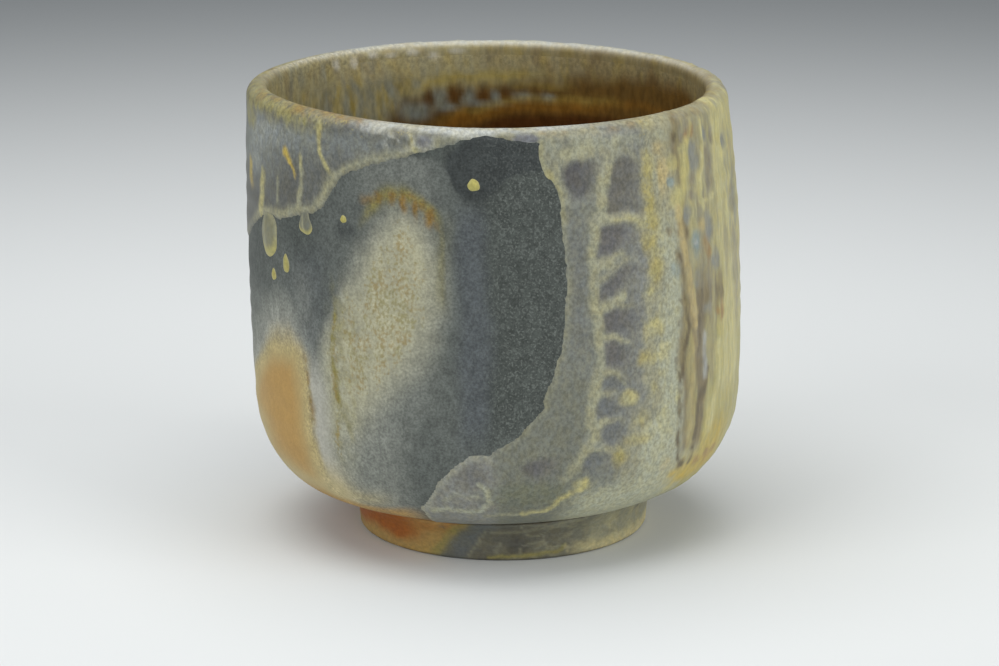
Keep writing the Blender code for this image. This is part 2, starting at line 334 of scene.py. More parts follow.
# Darkest clay under the lip, sheltered from the ash
SHELTER = (
    (-26, 79), (-24, 71.4), (-18.8, 71.7), (-14.2, 71.6), (-12.2, 71.4), (-10.2, 70.8), (-9, 69.8),
    (-8.2, 68.1), (-7.2, 66.5), (-5.5, 65.4), (-3, 64.7), (-0.5, 65.4), (1.5, 66.2), (3.2, 67.7),
    (4.2, 68.8), (6.8, 69.5), (9, 69.9), (12, 70.1), (16, 70.2), (16, 79),
)

# Dark pools in the coat: colour, then the outline
POOLS = (
    ("pool", (
        (17, 70), (18.2, 71.1), (20.8, 71.4), (23.8, 70.9), (25.2, 70.1), (24.8, 67.8), (23.2, 65.8),
        (20.8, 64.7), (19, 64.7), (17.8, 66.6), (17, 68.2),
    )),
    ("pool_brown", (
        (29.5, 70.8), (33.5, 71), (36.2, 69.3), (36.8, 65.6), (36.2, 61.3), (31.8, 61.4), (26.6, 61.8),
        (28, 66), (28.8, 69),
    )),
    ("pool_grey", (
        (24.9, 59.8), (27.8, 60.5), (32.2, 59.6), (36.2, 58.3), (32, 57.2), (27.5, 55.4), (24.4, 55.1),
    )),
    ("pool_grey", (
        (24.3, 48.3), (25.2, 50.6), (28.5, 52.3), (32.5, 53.6), (36.5, 52.6), (31.5, 51), (27.8, 48.8),
    )),
    ("pool_grey", (
        (24.2, 44.3), (25.5, 45.8), (29.5, 46.3), (35.5, 45.7), (35.2, 43), (31.2, 42.2), (26.8, 42.2),
        (24, 43.3),
    )),
    ("pool_grey", ((25.6, 40.6), (28, 41.2), (31.4, 40.1), (31.2, 37.4), (28.5, 36.6), (25.6, 37.2))),
    ("pool_blue", ((24.6, 34.5), (26.5, 35.4), (29.2, 34.7), (30.2, 33.1), (27.8, 32.1), (25, 32.7))),
    ("pool_blue", ((23, 29.9), (24.8, 31.7), (27.8, 31.7), (29.4, 30.2), (28, 28.5), (23.4, 28.6))),
    ("pool_blue", ((24.3, 25.6), (25.2, 27.1), (28.5, 27.4), (31.4, 25.3), (29.2, 23.4), (25.4, 24))),
    ("pool_blue", ((19.8, 21.2), (22.4, 22.4), (25, 22.2), (26.4, 20.6), (23.8, 18.8), (20.6, 19.2))),
    ("pool_grey", (
        (5.8, 20.6), (7.5, 22.2), (11, 22.7), (14.2, 21.9), (13.6, 19.8), (10, 18.9), (6.8, 19.4),
    )),
)

# Soft spots in the coat: colour, turn, rise, half width in degrees, half height, strength
SPOTS = (
    # The mist spots high on the left are a pale bluish coat brightened as painted sheen, and the sheen
    # spots are painted sheen
    ("mist", -72, 68.5, 14, 4.5, 0.95), ("mist", -50, 72, 14, 3, 0.75),
    ("mist", -30, 72.6, 9, 2, 0.6), ("sheen", -67, 70.8, 7, 2.2, 0.85),
    ("sheen", -57, 71.5, 6, 1.5, 0.6), ("sheen", -71, 66.4, 4, 2.4, 0.5),
    ("rim_straw", -76, 72.4, 5, 2, 0.8), ("ochre", -42.2, 73, 0.7, 1, 0.8),
    ("olive", 7.5, 15.8, 10, 2.4, 0.8), ("foam", 23, 73.9, 9, 1.4, 0.6),
    ("vein", 22, 72.4, 6.5, 1.3, 0.6), ("pool", 18, 74, 1.4, 1, 0.4),
    ("straw", 14.3, 68.5, 1, 0.9, 0.5), ("vein", 27, 66.5, 1.8, 5, 0.6),
    ("sky", 34, 73.2, 4.5, 1.2, 0.45), ("straw", 20.4, 17.3, 1.9, 1.2, 0.6),
    ("ochre", 38.5, 66.5, 1.5, 3.4, 0.4), ("ochre", 39, 61.2, 2, 3, 0.6),
    ("ochre", 37.4, 56.4, 1.6, 1.6, 0.5), ("ochre", 39.7, 52.2, 1.8, 1.9, 0.65),
    ("straw", 38.4, 42.5, 2.4, 1.6, 0.7), ("ochre", 35.6, 37.5, 1.9, 1.2, 0.75),
    ("straw", 31.5, 31.1, 2.2, 1.4, 0.75), ("ochre", 35, 27, 1.8, 1.1, 0.45),
    ("ochre", 34.5, 23.7, 3.2, 0.8, 0.6), ("ochre", 29.5, 21.6, 1.7, 1.9, 0.9),
    ("sky", 38.5, 21, 3.4, 1.4, 0.5), ("sky", 45, 22, 3.5, 4, 0.5),
    ("tawny", 43.8, 67.2, 2.2, 2.6, 0.9), ("straw", 46.6, 68.6, 1.6, 1.4, 0.7),
    ("straw", 50.8, 67, 1.8, 3.4, 0.9), ("straw", 47.6, 62.6, 2.2, 1.6, 0.85),
    ("sky", 41, 66.4, 1, 1.6, 0.6), ("eye", 45.9, 65.4, 1, 0.9, 0.95),
    ("sky", 43.6, 73.4, 2.2, 0.9, 0.7), ("tawny", 42.6, 71.2, 2, 0.8, 0.6),
    ("umber", 48.1, 73, 1, 1, 0.8), ("mauve", 51.2, 72.2, 1, 0.9, 0.8),
    ("rust", 52.7, 72.4, 0.9, 1.2, 0.8), ("rust", 54.6, 73, 1.2, 1.1, 0.85),
    ("umber", 55.6, 75.3, 1.6, 0.5, 0.8), ("cell", 54.8, 68.6, 1.7, 2.6, 0.95),
    ("mauve", 54, 65.2, 1.4, 1, 0.7), ("mauve", 52.6, 62.4, 1.5, 1, 0.9),
    ("cell", 50.6, 59.5, 1.3, 1.6, 1), ("straw", 56.6, 63.4, 1.4, 3, 0.7),
    ("mauve", 61, 66, 2, 4, 1), ("cell", 61, 71.6, 1.3, 1.2, 0.95),
    ("mauve", 65, 71, 1.5, 1.5, 0.95), ("lichen", 63, 71.6, 0.7, 1.4, 0.6),
    ("straw", 67.8, 71.2, 1.5, 1.8, 0.7), ("cell", 71.6, 68.9, 2.6, 1.2, 0.95),
    ("tawny", 78, 67, 3, 1.2, 0.5), ("mauve", 75, 59, 3.2, 2.6, 0.8),
    ("mauve", 79, 63, 3, 1.5, 0.6), ("eye", 53.7, 54.4, 1.8, 2.2, 0.95),
    ("rim", 53.8, 54.3, 0.9, 0.5, 0.8), ("rust", 58.1, 53, 1.3, 2.6, 0.8),
    ("tawny", 57, 57, 2, 1, 0.7), ("cell", 59.5, 56.2, 1.6, 2.6, 0.9),
    ("cell", 61.6, 50.4, 2, 2, 0.95), ("umber", 50, 56.6, 0.7, 0.9, 0.7),
    ("brown", 46.8, 52.6, 1.1, 0.9, 0.9), ("brown", 44.2, 57.8, 0.9, 0.8, 0.7),
    ("eye", 45.6, 51, 1.4, 1.2, 0.6), ("sky", 45, 54.9, 1.8, 1.3, 0.6),
    ("brown", 64, 45.6, 1.6, 2.6, 0.85), ("rust", 64.1, 41.3, 1, 2, 0.9),
    ("rust", 62, 41.7, 0.9, 0.7, 0.7), ("cream", 72, 46, 3.5, 4, 0.25),
    ("mauve", 76, 46, 3.5, 9, 0.6), ("cell", 53.4, 48.3, 1.4, 2, 0.6),
    ("cell", 57.6, 42.6, 2, 1, 0.6), ("umber", 54.8, 28.6, 1.4, 1.5, 0.7),
    ("cream", 46, 29.2, 1, 0.75, 1), ("gold", 56, 15.4, 8, 2.4, 0.85),
    ("gold", 63, 19, 6, 3.4, 0.8), ("ochre", 69, 20.4, 2, 2.4, 0.6),
    ("rust", 60.8, 17.2, 1.7, 0.8, 0.85), ("rust", 57, 16.4, 1.6, 0.8, 0.85),
    ("rust", 62.4, 16, 1.6, 0.7, 0.8), ("umber", 50, 16.7, 1.4, 0.7, 0.9),
    ("gold", 54.4, 14.2, 3, 0.9, 0.95), ("gold", 48.4, 15.6, 1.6, 0.6, 0.75),
    ("gold", 66, 14.5, 6, 1.6, 0.7), ("tawny", 43.8, 17.8, 1.3, 1.2, 0.55),
    ("rust", 65, 17, 1.8, 0.8, 0.7),
)

# Lines in the coat: colour, half width in millimetres, strength, how far raised, and the places
STROKES = (
    ("vein", 0.88, 0.66, 0.1, (
        (31, 73.6), (28, 69.9), (27, 67.2), (25.2, 63.3), (23.8, 60.2), (23.3, 55.6), (23, 50),
        (23.8, 46.7), (24.3, 42.5), (24.3, 39), (23.6, 35.8), (22.3, 31.6), (21.6, 28.8), (22.2, 24.9),
        (20.6, 22.7), (18.6, 20.6), (16, 18.4),
    )),
    ("vein", 0.7, 0.8, 0.09, ((24, 53.4), (27.2, 53.8), (30.5, 55.4))),
    ("vein", 0.75, 0.9, 0.1, ((23.6, 46.9), (27, 47.1), (30.4, 48.6))),
    ("vein", 0.4, 0.55, 0.06, ((25, 41.8), (28.5, 41.7), (31.4, 40.8))),
    ("vein", 0.35, 0.4, 0.05, ((24.4, 36), (28, 35.8), (30.6, 33.4))),
    ("vein", 0.6, 0.65, 0.08, ((22.2, 25), (24.2, 27.6), (25.4, 28.2))),
    ("vein", 0.45, 0.6, 0.06, ((20.6, 22.8), (25, 23.4), (29, 22.6))),
    ("vein", 0.85, 0.8, 0.08, ((26, 61.4), (29.8, 61.4), (33, 60.7), (37.2, 59.8))),
    ("straw", 0.35, 0.45, 0, ((29, 61.3), (33, 60.7), (37.2, 59.6))),
    ("ochre", 1.1, 0.38, 0, (
        (38.5, 71), (38.5, 65), (38.8, 61.7), (39, 59.2), (37.7, 55.6), (39.6, 52.4), (39, 49),
    )),
    ("straw", 0.4, 0.8, 0.08, ((-41.5, 74.9), (-42, 73), (-42, 70.6), (-40.2, 69), (-38.8, 67.7))),
    ("straw", 0.35, 0.6, 0.05, ((-17.6, 75.2), (-17, 73.4), (-16.2, 72.6))),
    ("gold", 0.62, 0.95, 0.1, ((-54, 69.4), (-53, 68.8), (-52, 67.9))),
    ("gold", 0.36, 0.8, 0.07, ((-52, 67.9), (-51, 66.5), (-50.8, 65.4))),
    ("straw", 0.38, 0.7, 0.07, ((-47.8, 68.8), (-47.8, 66.6))),
    ("vein", 0.5, 0.8, 0.07, ((-47.8, 66.8), (-48, 64.1), (-48.8, 60.6))),
    ("straw", 0.95, 0.8, 0.08, ((-65.2, 64.1), (-65.8, 62.2), (-66.5, 59.7), (-67.2, 57.7))),
    ("vein", 0.4, 0.6, 0.07, ((-57.2, 64.5), (-57.2, 62.5), (-57.5, 60.9))),
    ("gold", 1.3, 0.75, 0.07, ((-75.4, 64.3), (-74.8, 63.1), (-74.2, 62.2))),
    ("straw", 0.75, 0.85, 0.12, ((52.4, 71.5), (52, 69), (50.5, 65.5), (48.6, 62.4), (47.8, 60))),
    ("tawny", 0.75, 0.8, 0.14, (
        (47.6, 61), (48, 57.6), (49, 54), (49.8, 50), (51.2, 45.1), (52, 40.8),
    )),
    ("tawny", 0.6, 0.32, 0.06, ((52, 40.8), (51.5, 36.6), (50.8, 32.4), (50.5, 27.2), (50, 20.6))),
    ("cream", 0.5, 0.9, 0.12, (
        (58.9, 73.6), (59, 70.5), (58.2, 67.8), (56.8, 65.4), (56.6, 62), (57.6, 59.5),
    )),
    ("cream", 0.5, 0.85, 0.12, ((66.6, 73), (66, 70), (64.4, 66.6), (64.6, 62.5), (66, 59))),
    ("cream", 0.45, 0.65, 0.1, ((56, 60.8), (60, 60.6), (64, 61.6))),
    ("cream", 0.5, 0.75, 0.1, ((69.2, 73), (69, 68), (70.5, 63.5), (69.5, 55))),
    ("straw", 0.4, 0.7, 0.08, ((49.5, 70.6), (52, 70.8), (53.5, 71.6), (54.5, 74))),
    ("umber", 0.3, 0.6, 0, ((47.4, 58.6), (46.8, 55), (47.8, 51), (48.2, 47))),
    ("umber", 0.46, 0.95, 0, (
        (48.5, 46.5), (48.5, 44.7), (49.8, 40.6), (48.2, 37.1), (46.5, 32.6), (46.5, 27), (46.5, 21.8),
        (47.6, 18.4), (50, 16.6),
    )),
    ("umber", 0.52, 0.95, 0, (
        (56.8, 32.6), (56.2, 30.2), (53.8, 27.6), (52.5, 24.8), (52.5, 20.8), (53.5, 16.9),
    )),
    ("umber", 0.45, 0.75, 0, ((55, 46), (54.5, 43), (53.5, 40.5), (53.6, 36.5))),
    ("lilac", 0.55, 0.7, 0, ((56, 38.4), (56, 35), (56.1, 31.6))),
    ("ochre", 0.45, 0.5, 0, ((68.8, 39.6), (69, 33.5), (70, 27.6), (65.2, 21.9), (61.8, 19))),
    ("cream", 0.8, 0.75, 0.05, ((62, 36), (62.5, 29.4), (59.8, 25.1), (58.8, 21.4))),
    ("cream", 1, 0.6, 0.05, ((73.2, 44), (73.2, 37.1), (74, 30))),
    ("vein", 0.26, 0.65, 0.04, ((-3.5, 11.7), (3.5, 12.1), (9, 12.2))),
    ("straw", 0.44, 0.85, 0.05, (
        (7, 12.1), (11, 12.3), (13.5, 13), (15.5, 14.7), (18.5, 15.7), (20.2, 16.5), (21, 17.9),
    )),
    ("foam", 0.45, 0.8, 0.05, (
        (-16.5, 12.6), (-12, 13.3), (-7, 12.6), (-3.6, 13.2), (-1.6, 14.6), (-2.2, 16.6), (-3.8, 18.2),
    )),
    ("foam", 0.35, 0.5, 0.04, ((-12.5, 15.2), (-9.5, 16), (-6.5, 15.2), (-4.5, 15.8))),
)

# Colours whose spots are softer, those whose spots are sunken, and those whose lines are broken
MISTY = ("ochre", "sheen", "mist", "gold", "foam")
SUNKEN = ("cell", "mauve", "eye")
BROKEN = ("umber", "ochre")

# Edges of the pale bloom, as (rise, left turn, right turn)
BLOOM_EDGES = (
    (14, -42, -42), (20, -42.5, -38), (26, -43, -33.6), (30, -43, -29.6), (33, -42.8, -25.4),
    (37.5, -42.4, -19.2), (42, -41.2, -15.2), (46, -38, -13.2), (51, -33.4, -13), (56, -29.4, -12.2),
    (61, -27.6, -11.8), (66, -26.6, -12.4),
)

# Dark wedge between the bloom and the flashing, as (rise, left turn, right turn)
WEDGE_EDGES = (
    (32, -45.5, -44), (34.8, -46.8, -44), (38.7, -49, -43), (42.6, -51.4, -42), (46.4, -55, -40.5),
    (50, -90, -39.4), (60, -90, -38),
)

# Top of the flashing, as (turn, rise), and its right border and the right edge of the pale streak
# beside it, as (rise, turn)
FLASH_TOP = (
    (-170, -4), (-140, 12), (-112, 18), (-95, 25), (-80, 30.5), (-72, 34.1), (-65, 37.6), (-59.5, 39.4),
    (-54, 39.9), (-50, 38),
)
FLASH_BORDER = (
    (12, -43.5), (16, -44.8), (20, -45.5), (24, -46.2), (28.5, -46.5), (32.5, -47.8), (36.6, -49.2),
    (40, -52.2),
)
STREAK_RIGHT = ((14, -40.5), (20, -41), (25, -41.2), (30, -42), (35, -43.2), (40, -45.5))

# Painted shade in the clay below and round two drops: turn, rise, half width in degrees, half height,
# strength
DROP_SHADES = ((-3.3, 67, 3.2, 2.2, 0.6), (-34.6, 58.6, 3.4, 1.3, 0.6))

# Ochre marks of iron on the bloom: turn, rise, half width in degrees, half height, strength
IRON_MARKS = (
    (-28.4, 64.3, 1.7, 0.7, 0.6), (-25.6, 65, 1.3, 0.7, 0.7), (-22.2, 65, 1, 1, 0.95),
    (-19.6, 64.4, 0.85, 1.5, 1), (-17.8, 65.6, 0.9, 0.6, 0.7), (-16.5, 63.5, 0.8, 1.5, 1),
    (-14.8, 64.2, 0.7, 0.8, 0.7), (-13.4, 61.8, 0.95, 1.5, 1), (-11.8, 60.6, 0.6, 0.8, 0.4),
)

# Lines on the foot: colour, half width in millimetres, strength, and the places
FOOT_LINES = (
    ("sage", 0.26, 0.75, ((-13, 0.8), (-11, 2.4), (-8, 4.6), (-7, 5.6))),
    ("sage", 0.3, 0.5, ((-1.5, 0.9), (-2.6, 2), (-0.6, 3.2))),
    ("sage", 0.4, 0.55, ((12, 1.4), (16.5, 2.8), (16, 4.4))),
    ("sage", 0.38, 0.55, ((-4, 5.4), (8, 5.5), (18, 6), (30, 6.8))),
    ("sage", 0.3, 0.5, ((20, 1.6), (23, 3.4), (30, 4.6))),
    ("straw", 0.26, 0.65, ((26, 0.8), (24.4, 2))),
    ("lichen", 0.36, 0.85, ((-6, 0.7), (8, 0.9), (15, 1), (22, 1.3), (24, 2))),
    ("lichen", 0.5, 0.55, ((-28, 0.9), (-23, 3), (-18.5, 6.4))),
)

# Raised drops of ash: turn, rise, half width and half height in millimetres, height, straw share,
# and how much narrower the top is
DROPS = (
    (-62.6, 54.9, 3.2, 4.0, 0.55, 0.12, 0.22),
    (-46.9, 58.6, 1.75, 2.2, 0.26, 0.00, 0.22),
    (-54.7, 51.0, 1.00, 1.75, 0.30, 0.80, 0.22),
    (-60.6, 48.3, 0.90, 1.1, 0.24, 0.80, 0.22),
    (-3.2, 67.7, 1.22, 1.2, 0.34, 1.00, 0.06),
    (-35.0, 60.4, 0.75, 0.72, 0.24, 1.00, 0.06),
)

# Pale runs under the lip inside, partly painted highlights: turn, rise, half width in degrees, half height,
# strength
PALE_RUNS_AND_HIGHLIGHTS = (
    (225.8, 74.3, 1.1, 0.9, 0.95), (219.5, 74.2, 1.2, 1, 0.95), (213, 75, 1.3, 0.6, 0.8),
    (207.5, 74.7, 1.7, 0.5, 0.75), (201, 74.9, 1.6, 0.6, 0.8), (195, 74.1, 1.6, 0.7, 0.75),
    (188.6, 74.8, 2.2, 0.5, 0.7),
)

# Upper edges of the brown glaze and of the amber band inside, as (turn, rise)
BROWN_SHORE = (
    (60, 50), (95, 69), (115, 74), (139, 72.8), (158, 71), (183, 69.5), (198, 68.8), (210, 65.8),
    (250, 40),
)
AMBER_SHORE = (
    (110, 65.7), (129, 65.8), (145, 65.8), (159, 65.4), (176, 64.4), (188, 62.9), (196, 61),
    (206, 58.5),
)

# Iron spots and milky patches on the inside wall: turn, rise, half width in degrees, half height,
# strength
IRON_SPOTS = (
    (175.5, 67.2, 1.6, 1.4, 0.7), (182.2, 66.9, 1.6, 1.5, 0.7), (189.8, 67.2, 1.6, 1.4, 0.7),
    (197.4, 66.8, 1.5, 1.4, 0.7),
)
MILKY_PATCHES = (
    (163.8, 66.6, 2.4, 0.8, 0.95), (170.5, 66.6, 2.6, 1, 0.95), (178.8, 66.4, 1.2, 1.1, 0.95),
    (186, 66.8, 1.4, 1.2, 0.95), (193.6, 66.5, 1.8, 1.3, 0.95), (181, 65.3, 6, 0.6, 0.95),
    (192, 64.8, 3.2, 0.9, 0.95), (201.5, 64.4, 5, 1.6, 0.95),
)


# Numbers on a grid

def smooth(low, high, value):
    """A smooth step: 0 at low, 1 at high, and three squares less two cubes between them."""
    share = np.clip((value - low) / (high - low), 0.0, 1.0)
    return share * share * (3.0 - 2.0 * share)


def near(value, middle, spread):
    """A bell: 1 in the middle, falling as the exponential of the squared distance over spread."""
    return np.exp(-(((value - middle) / spread) ** 2))


def uneven(level, by, noise):
    """A strength that wanders about a level by noise, held between 0 and 1."""
    return np.clip(level + by * noise, 0.0, 1.0)


def between(value, low, high, soft):
    """A band: 1 from low to high, with smooth steps to 0 that reach soft to either side of them."""
    return smooth(low - soft, low + soft, value) * smooth(high + soft, high - soft, value)


def corner_value(i, j, k, seed):
    """A repeatable number from -1 to 1 for each lattice corner: its indices times large odd
    numbers, mixed twice by shifting, exclusive or and multiplying."""
    mixed = (i * 73856093) ^ (j * 19349663) ^ (k * 83492791) ^ np.uint64(seed * 40503)
    for shift, factor in ((15, 2246822519), (13, 3266489917)):
        mixed = (mixed ^ (mixed >> np.uint64(shift))) * np.uint64(factor) & np.uint64(0xFFFFFFFF)
    return (mixed >> np.uint64(8)).astype(float) / 0x7FFFFF - 1.0


def lattice_noise(x, y, z, seed):
    """Value noise: the eight corner values round a point, blended by quintic steps."""
    base = [np.floor(c).astype(np.int64) for c in (x, y, z)]
    blend = [c - b for c, b in zip((x, y, z), base)]
    blend = [f * f * f * (f * (6.0 * f - 15.0) + 10.0) for f in blend]
    total = 0.0
    for corner in range(8):
        step = [(corner >> axis) & 1 for axis in range(3)]
        index = [((b + s) & 0xFFFF).astype(np.uint64) for b, s in zip(base, step)]
        weight = 1.0
        for f, s in zip(blend, step):
            weight = weight * (f if s else 1.0 - f)
        total = total + weight * corner_value(*index, seed)
    return total


class Place:
    """Places on a turned surface: turn, rise and height of every grid point, and its wheel-true
    position."""

    def __init__(self, turn, rise, rows):
        self.turn, self.rise = np.broadcast_arrays(turn[None, :], rise[:, None])
        self.rows = rows
        self.x = rows[:, :1] * np.sin(np.radians(turn))[None, :]
        self.y = -rows[:, :1] * np.cos(np.radians(turn))[None, :]

    def cloud(self, size, seed, octaves=2, tall=1.0):
        """Fractal noise from about -1 to 1, with lumps of this size in millimetres, each octave
        half as large, half as strong and on a lattice turned once more, so that no lump keeps to
        the axes. A tall of more than 1 draws the lumps out upwards."""
        total, strength = 0.0, 1.0
        x, y, z = self.x / size, self.y / size, self.rise / (size * tall)
        for octave in range(octaves):
            x, y, z = 0.8 * y + 0.6 * z, -0.8 * x + 0.36 * y - 0.48 * z, -0.6 * x - 0.48 * y + 0.64 * z
            total = total + strength * lattice_noise(x, y, z, seed + 17 * octave)
            strength = strength / 2.0
            x, y, z = x * 2.03, y * 2.03, z * 2.03
        return total

    def wandered(self, turn_by, rise_by, size, seed):
        """A copy whose turn and rise wander by noise, to give marks uneven edges."""
        moved = SimpleNamespace(cloud=self.cloud)
        moved.turn = self.turn + turn_by * self.cloud(size, seed)
        moved.rise = self.rise + rise_by * self.cloud(size, seed + 5)
        return moved

    def by_height(self):
        """The same points, with their height as their rise, also on the inside of the lip."""
        return Place(self.turn[0], self.rows[:, 1], self.rows)


def turn_apart(turn, middle):
    """Degrees from middle to turn, the short way round."""
    return (turn - middle + 180.0) % 360.0 - 180.0


def blot(place, middle, half, soft=0.35):
    """A soft oval: 1 inside, 0 outside, with an edge of this share of its size."""
    across = np.hypot(turn_apart(place.turn, middle[0]) / half[0], (place.rise - middle[1]) / half[1])
    return smooth(1.0 + soft, 1.0 - soft, across)


def line_distance(turn, rise, line, degree):
    """Millimetres from each place to a line of places, taking a degree to be this long."""
    nearest = np.full(np.shape(turn), np.inf)
    for (turn_a, rise_a), (turn_b, rise_b) in zip(line, line[1:]):
        along = ((turn_b - turn_a) * degree, rise_b - rise_a)
        off = ((turn - turn_a) * degree, rise - rise_a)
        share = (off[0] * along[0] + off[1] * along[1]) / (along[0] ** 2 + along[1] ** 2)
        share = np.clip(share, 0.0, 1.0)
        nearest = np.minimum(nearest, np.hypot(off[0] - share * along[0], off[1] - share * along[1]))
    return nearest


def inside_outline(turn, rise, outline):
    """True where a ray to the right crosses the closed outline an odd number of times."""
    crossed = np.zeros(np.shape(turn), bool)
    for (turn_a, rise_a), (turn_b, rise_b) in zip(outline, outline[1:] + outline[:1]):
        if rise_a != rise_b:
            spans = (rise_a > rise) != (rise_b > rise)
            meets = turn_a + (rise - rise_a) * (turn_b - turn_a) / (rise_b - rise_a)
            crossed ^= spans & (turn < meets)
    return crossed


def line_at(value, line):
    """A line of pairs read as a graph: straight between its points, and level past its ends."""
    across, along = np.array(line).T
    return np.interp(value, across, along)


def edges_at(rise, edges):
    """The left and right turns of an area at each rise, straight between the rows of its table."""
    rises, lefts, rights = np.array(edges).T
    return np.interp(rise, rises, lefts), np.interp(rise, rises, rights)


class Canvas:
    """Colours on every place of a surface, laid over one another by name, with whatever else its
    marks share."""

    def __init__(self, place, colours, ground, **shared):
        self.place, self.colours = place, colours
        self.colour = np.empty(place.turn.shape + (3,))
        self.colour[:] = getattr(colours, ground)
        self.__dict__.update(shared)

    def blend(self, other, share):
        """Goes over to other colours by a share."""
        self.colour += share[..., None] * (other - self.colour)

    def lay(self, name, mask):
        """Lays a colour where the mask is 1, and mixes it in where it is less."""
        self.blend(np.array(getattr(self.colours, name)), np.clip(mask, 0.0, 1.0))

    def lay_spots(self, name, place, spots, soft):
        """Lays soft ovals: turn, rise, half width in degrees, half height and strength."""
        for turn, rise, half_turn, half_rise, strength in spots:
            self.lay(name, blot(place, (turn, rise), (half_turn, half_rise), soft) * strength)


# Shape of the cup

def cup_sizes(shape):
    """The shape settings in millimetres, with the heights and radii that follow from them."""
    cup = SimpleNamespace(
        **{name: getattr(shape, name) / MM for name in shape.__annotations__ if name != "seat_tilt"}
    )
    cup.tilt = math.tan(shape.seat_tilt)
    cup.lip_radius = cup.wall / 2.0
    cup.lip_z = cup.height - cup.lip_radius
    cup.inner_lip_z = cup.height - cup.inner_lip_rise
    cup.seat_z = cup.foot_height + cup.gap
    cup.seat_radius = cup.foot_radius + cup.foot_shift + cup.seat_margin
    cup.corner_low_z = cup.foot_height - cup.glaze + cup.underside_rise
    cup.corner_high_z = cup.corner_low_z + cup.corner_rise
    cup.corner_low_radius = cup.seat_radius + cup.underside_run
    cup.floor_z = cup.seat_z + cup.floor
    cup.degree = math.radians(cup.base_radius)
    cup.meet_z = cup.inner_lip_z - MEET_DROP
    cup.meet_slope = MEET_SLOPE
    return cup


def wall_radius(cup, z):
    """Outside radius of the wall: a straight taper from base to rim with a parabolic bulge."""
    up = (z - cup.corner_high_z) / (cup.lip_z - cup.corner_high_z)
    taper = cup.base_radius + (cup.rim_radius - cup.base_radius) * up
    return taper + cup.belly_bulge * 4.0 * up * (1.0 - up)


def inner_radius(cup, z):
    """Inside radius of the wall: the outside less the wall, which thins towards the lip with the
    square of the height over the place where it begins to thin."""
    up = np.clip((z - cup.thin_from) / (cup.inner_lip_z - cup.thin_from), 0.0, 1.0)
    thick = cup.wall + (cup.lip_radius + cup.inner_lip_run - cup.wall) * up**2
    rim = cup.rim_radius - wall_radius(cup, cup.inner_lip_z)
    return wall_radius(cup, z) - thick + rim * up**2


def settle(cup, x, y, z):
    """Where firing left wheel-true points: the wall leans left with the square of its height, the
    seat tilts, the lip rises at its left front and the belly swells on the right."""
    up = z / cup.height
    turn = np.arctan2(x, -y)
    away = np.angle(np.exp(1j * (turn - math.radians(RIM_RISE_TURN)))) / math.radians(RIM_RISE_SPREAD)
    rise = cup.rim_rise * np.exp(-(away**2)) * up**4
    share = np.minimum(z / cup.foot_height, (cup.height - z) / (cup.height - cup.foot_height))
    rightward = np.clip(np.sin(turn), 0.0, 1.0)
    swell = cup.right_swell * rightward**2 * np.sin(math.pi * np.clip(up, 0.0, 1.0)) ** 2
    stretch = 1.0 + swell / cup.base_radius
    moved = (x * stretch - cup.lean * up**2, y * stretch, z + rise + cup.tilt * x * share)
    return np.stack(moved, axis=-1)


def turned_points(cup, rows, turn, lift, centre=0.0):
    """Grid points of a turned surface: each row's radius and height, moved by lift along the row's
    normal, spun round the axis at centre, and settled."""
    along = np.gradient(rows, axis=0)
    normal = np.stack((-along[:, 1], along[:, 0]), axis=1) / np.hypot(along[:, 0], along[:, 1])[:, None]
    radius = np.maximum(rows[:, 0, None] + normal[:, 0, None] * lift, 0.0)
    z = rows[:, 1, None] + normal[:, 1, None] * lift
    angle = np.radians(turn)[None, :]
    return settle(cup, radius * np.sin(angle) + centre, -radius * np.cos(angle), z)


def arc_rows(centre, radii, start, stop, count):
    """Rows on an elliptic arc, as (radius, height), from start to stop in degrees."""
    angle = np.radians(np.linspace(start, stop, count))
    return np.column_stack((centre[0] + radii[0] * np.cos(angle), centre[1] + radii[1] * np.sin(angle)))


def outside_rows(cup):
    """Rows of the finished outside, from just inside the lip over its round, down the wall and
    round the corner to the slope beside the foot, with the rise of each row."""
    heights = np.array((cup.meet_z - TUCK_DROP, cup.meet_z, cup.inner_lip_z - LIP_DROP))
    tuck = np.column_stack((inner_radius(cup, heights), heights))
    crest = cup.rim_radius - cup.lip_radius
    inner_radii = (cup.inner_lip_run, cup.inner_lip_rise)
    inner = arc_rows((crest, cup.inner_lip_z), inner_radii, 180, 90, LIP_ROWS)
    outer = arc_rows((crest, cup.lip_z), (cup.lip_radius,) * 2, 90, 0, LIP_ROWS)[1:]
    heights = np.linspace(cup.lip_z, cup.corner_high_z, WALL_ROWS)[1:-1]
    wall = np.column_stack((wall_radius(cup, heights), heights))
    run = wall_radius(cup, cup.corner_high_z) - cup.corner_low_radius
    corner_centre = (cup.corner_low_radius, cup.corner_high_z)
    corner = arc_rows(corner_centre, (run, cup.corner_rise), 0, -90, CORNER_ROWS)
    slope = np.linspace(corner[-1], (cup.seat_radius, cup.seat_z), SLOPE_ROWS)[1:]
    rows = np.concatenate((tuck, inner, outer, wall, corner, slope))
    top = len(tuck) + len(inner) - 1
    steps = np.hypot(*np.diff(rows[: top + 1], axis=0).T)
    rise = rows[:, 1].copy()
    rise[:top] = cup.height + np.cumsum(steps[::-1])[::-1]
    return rows, rise


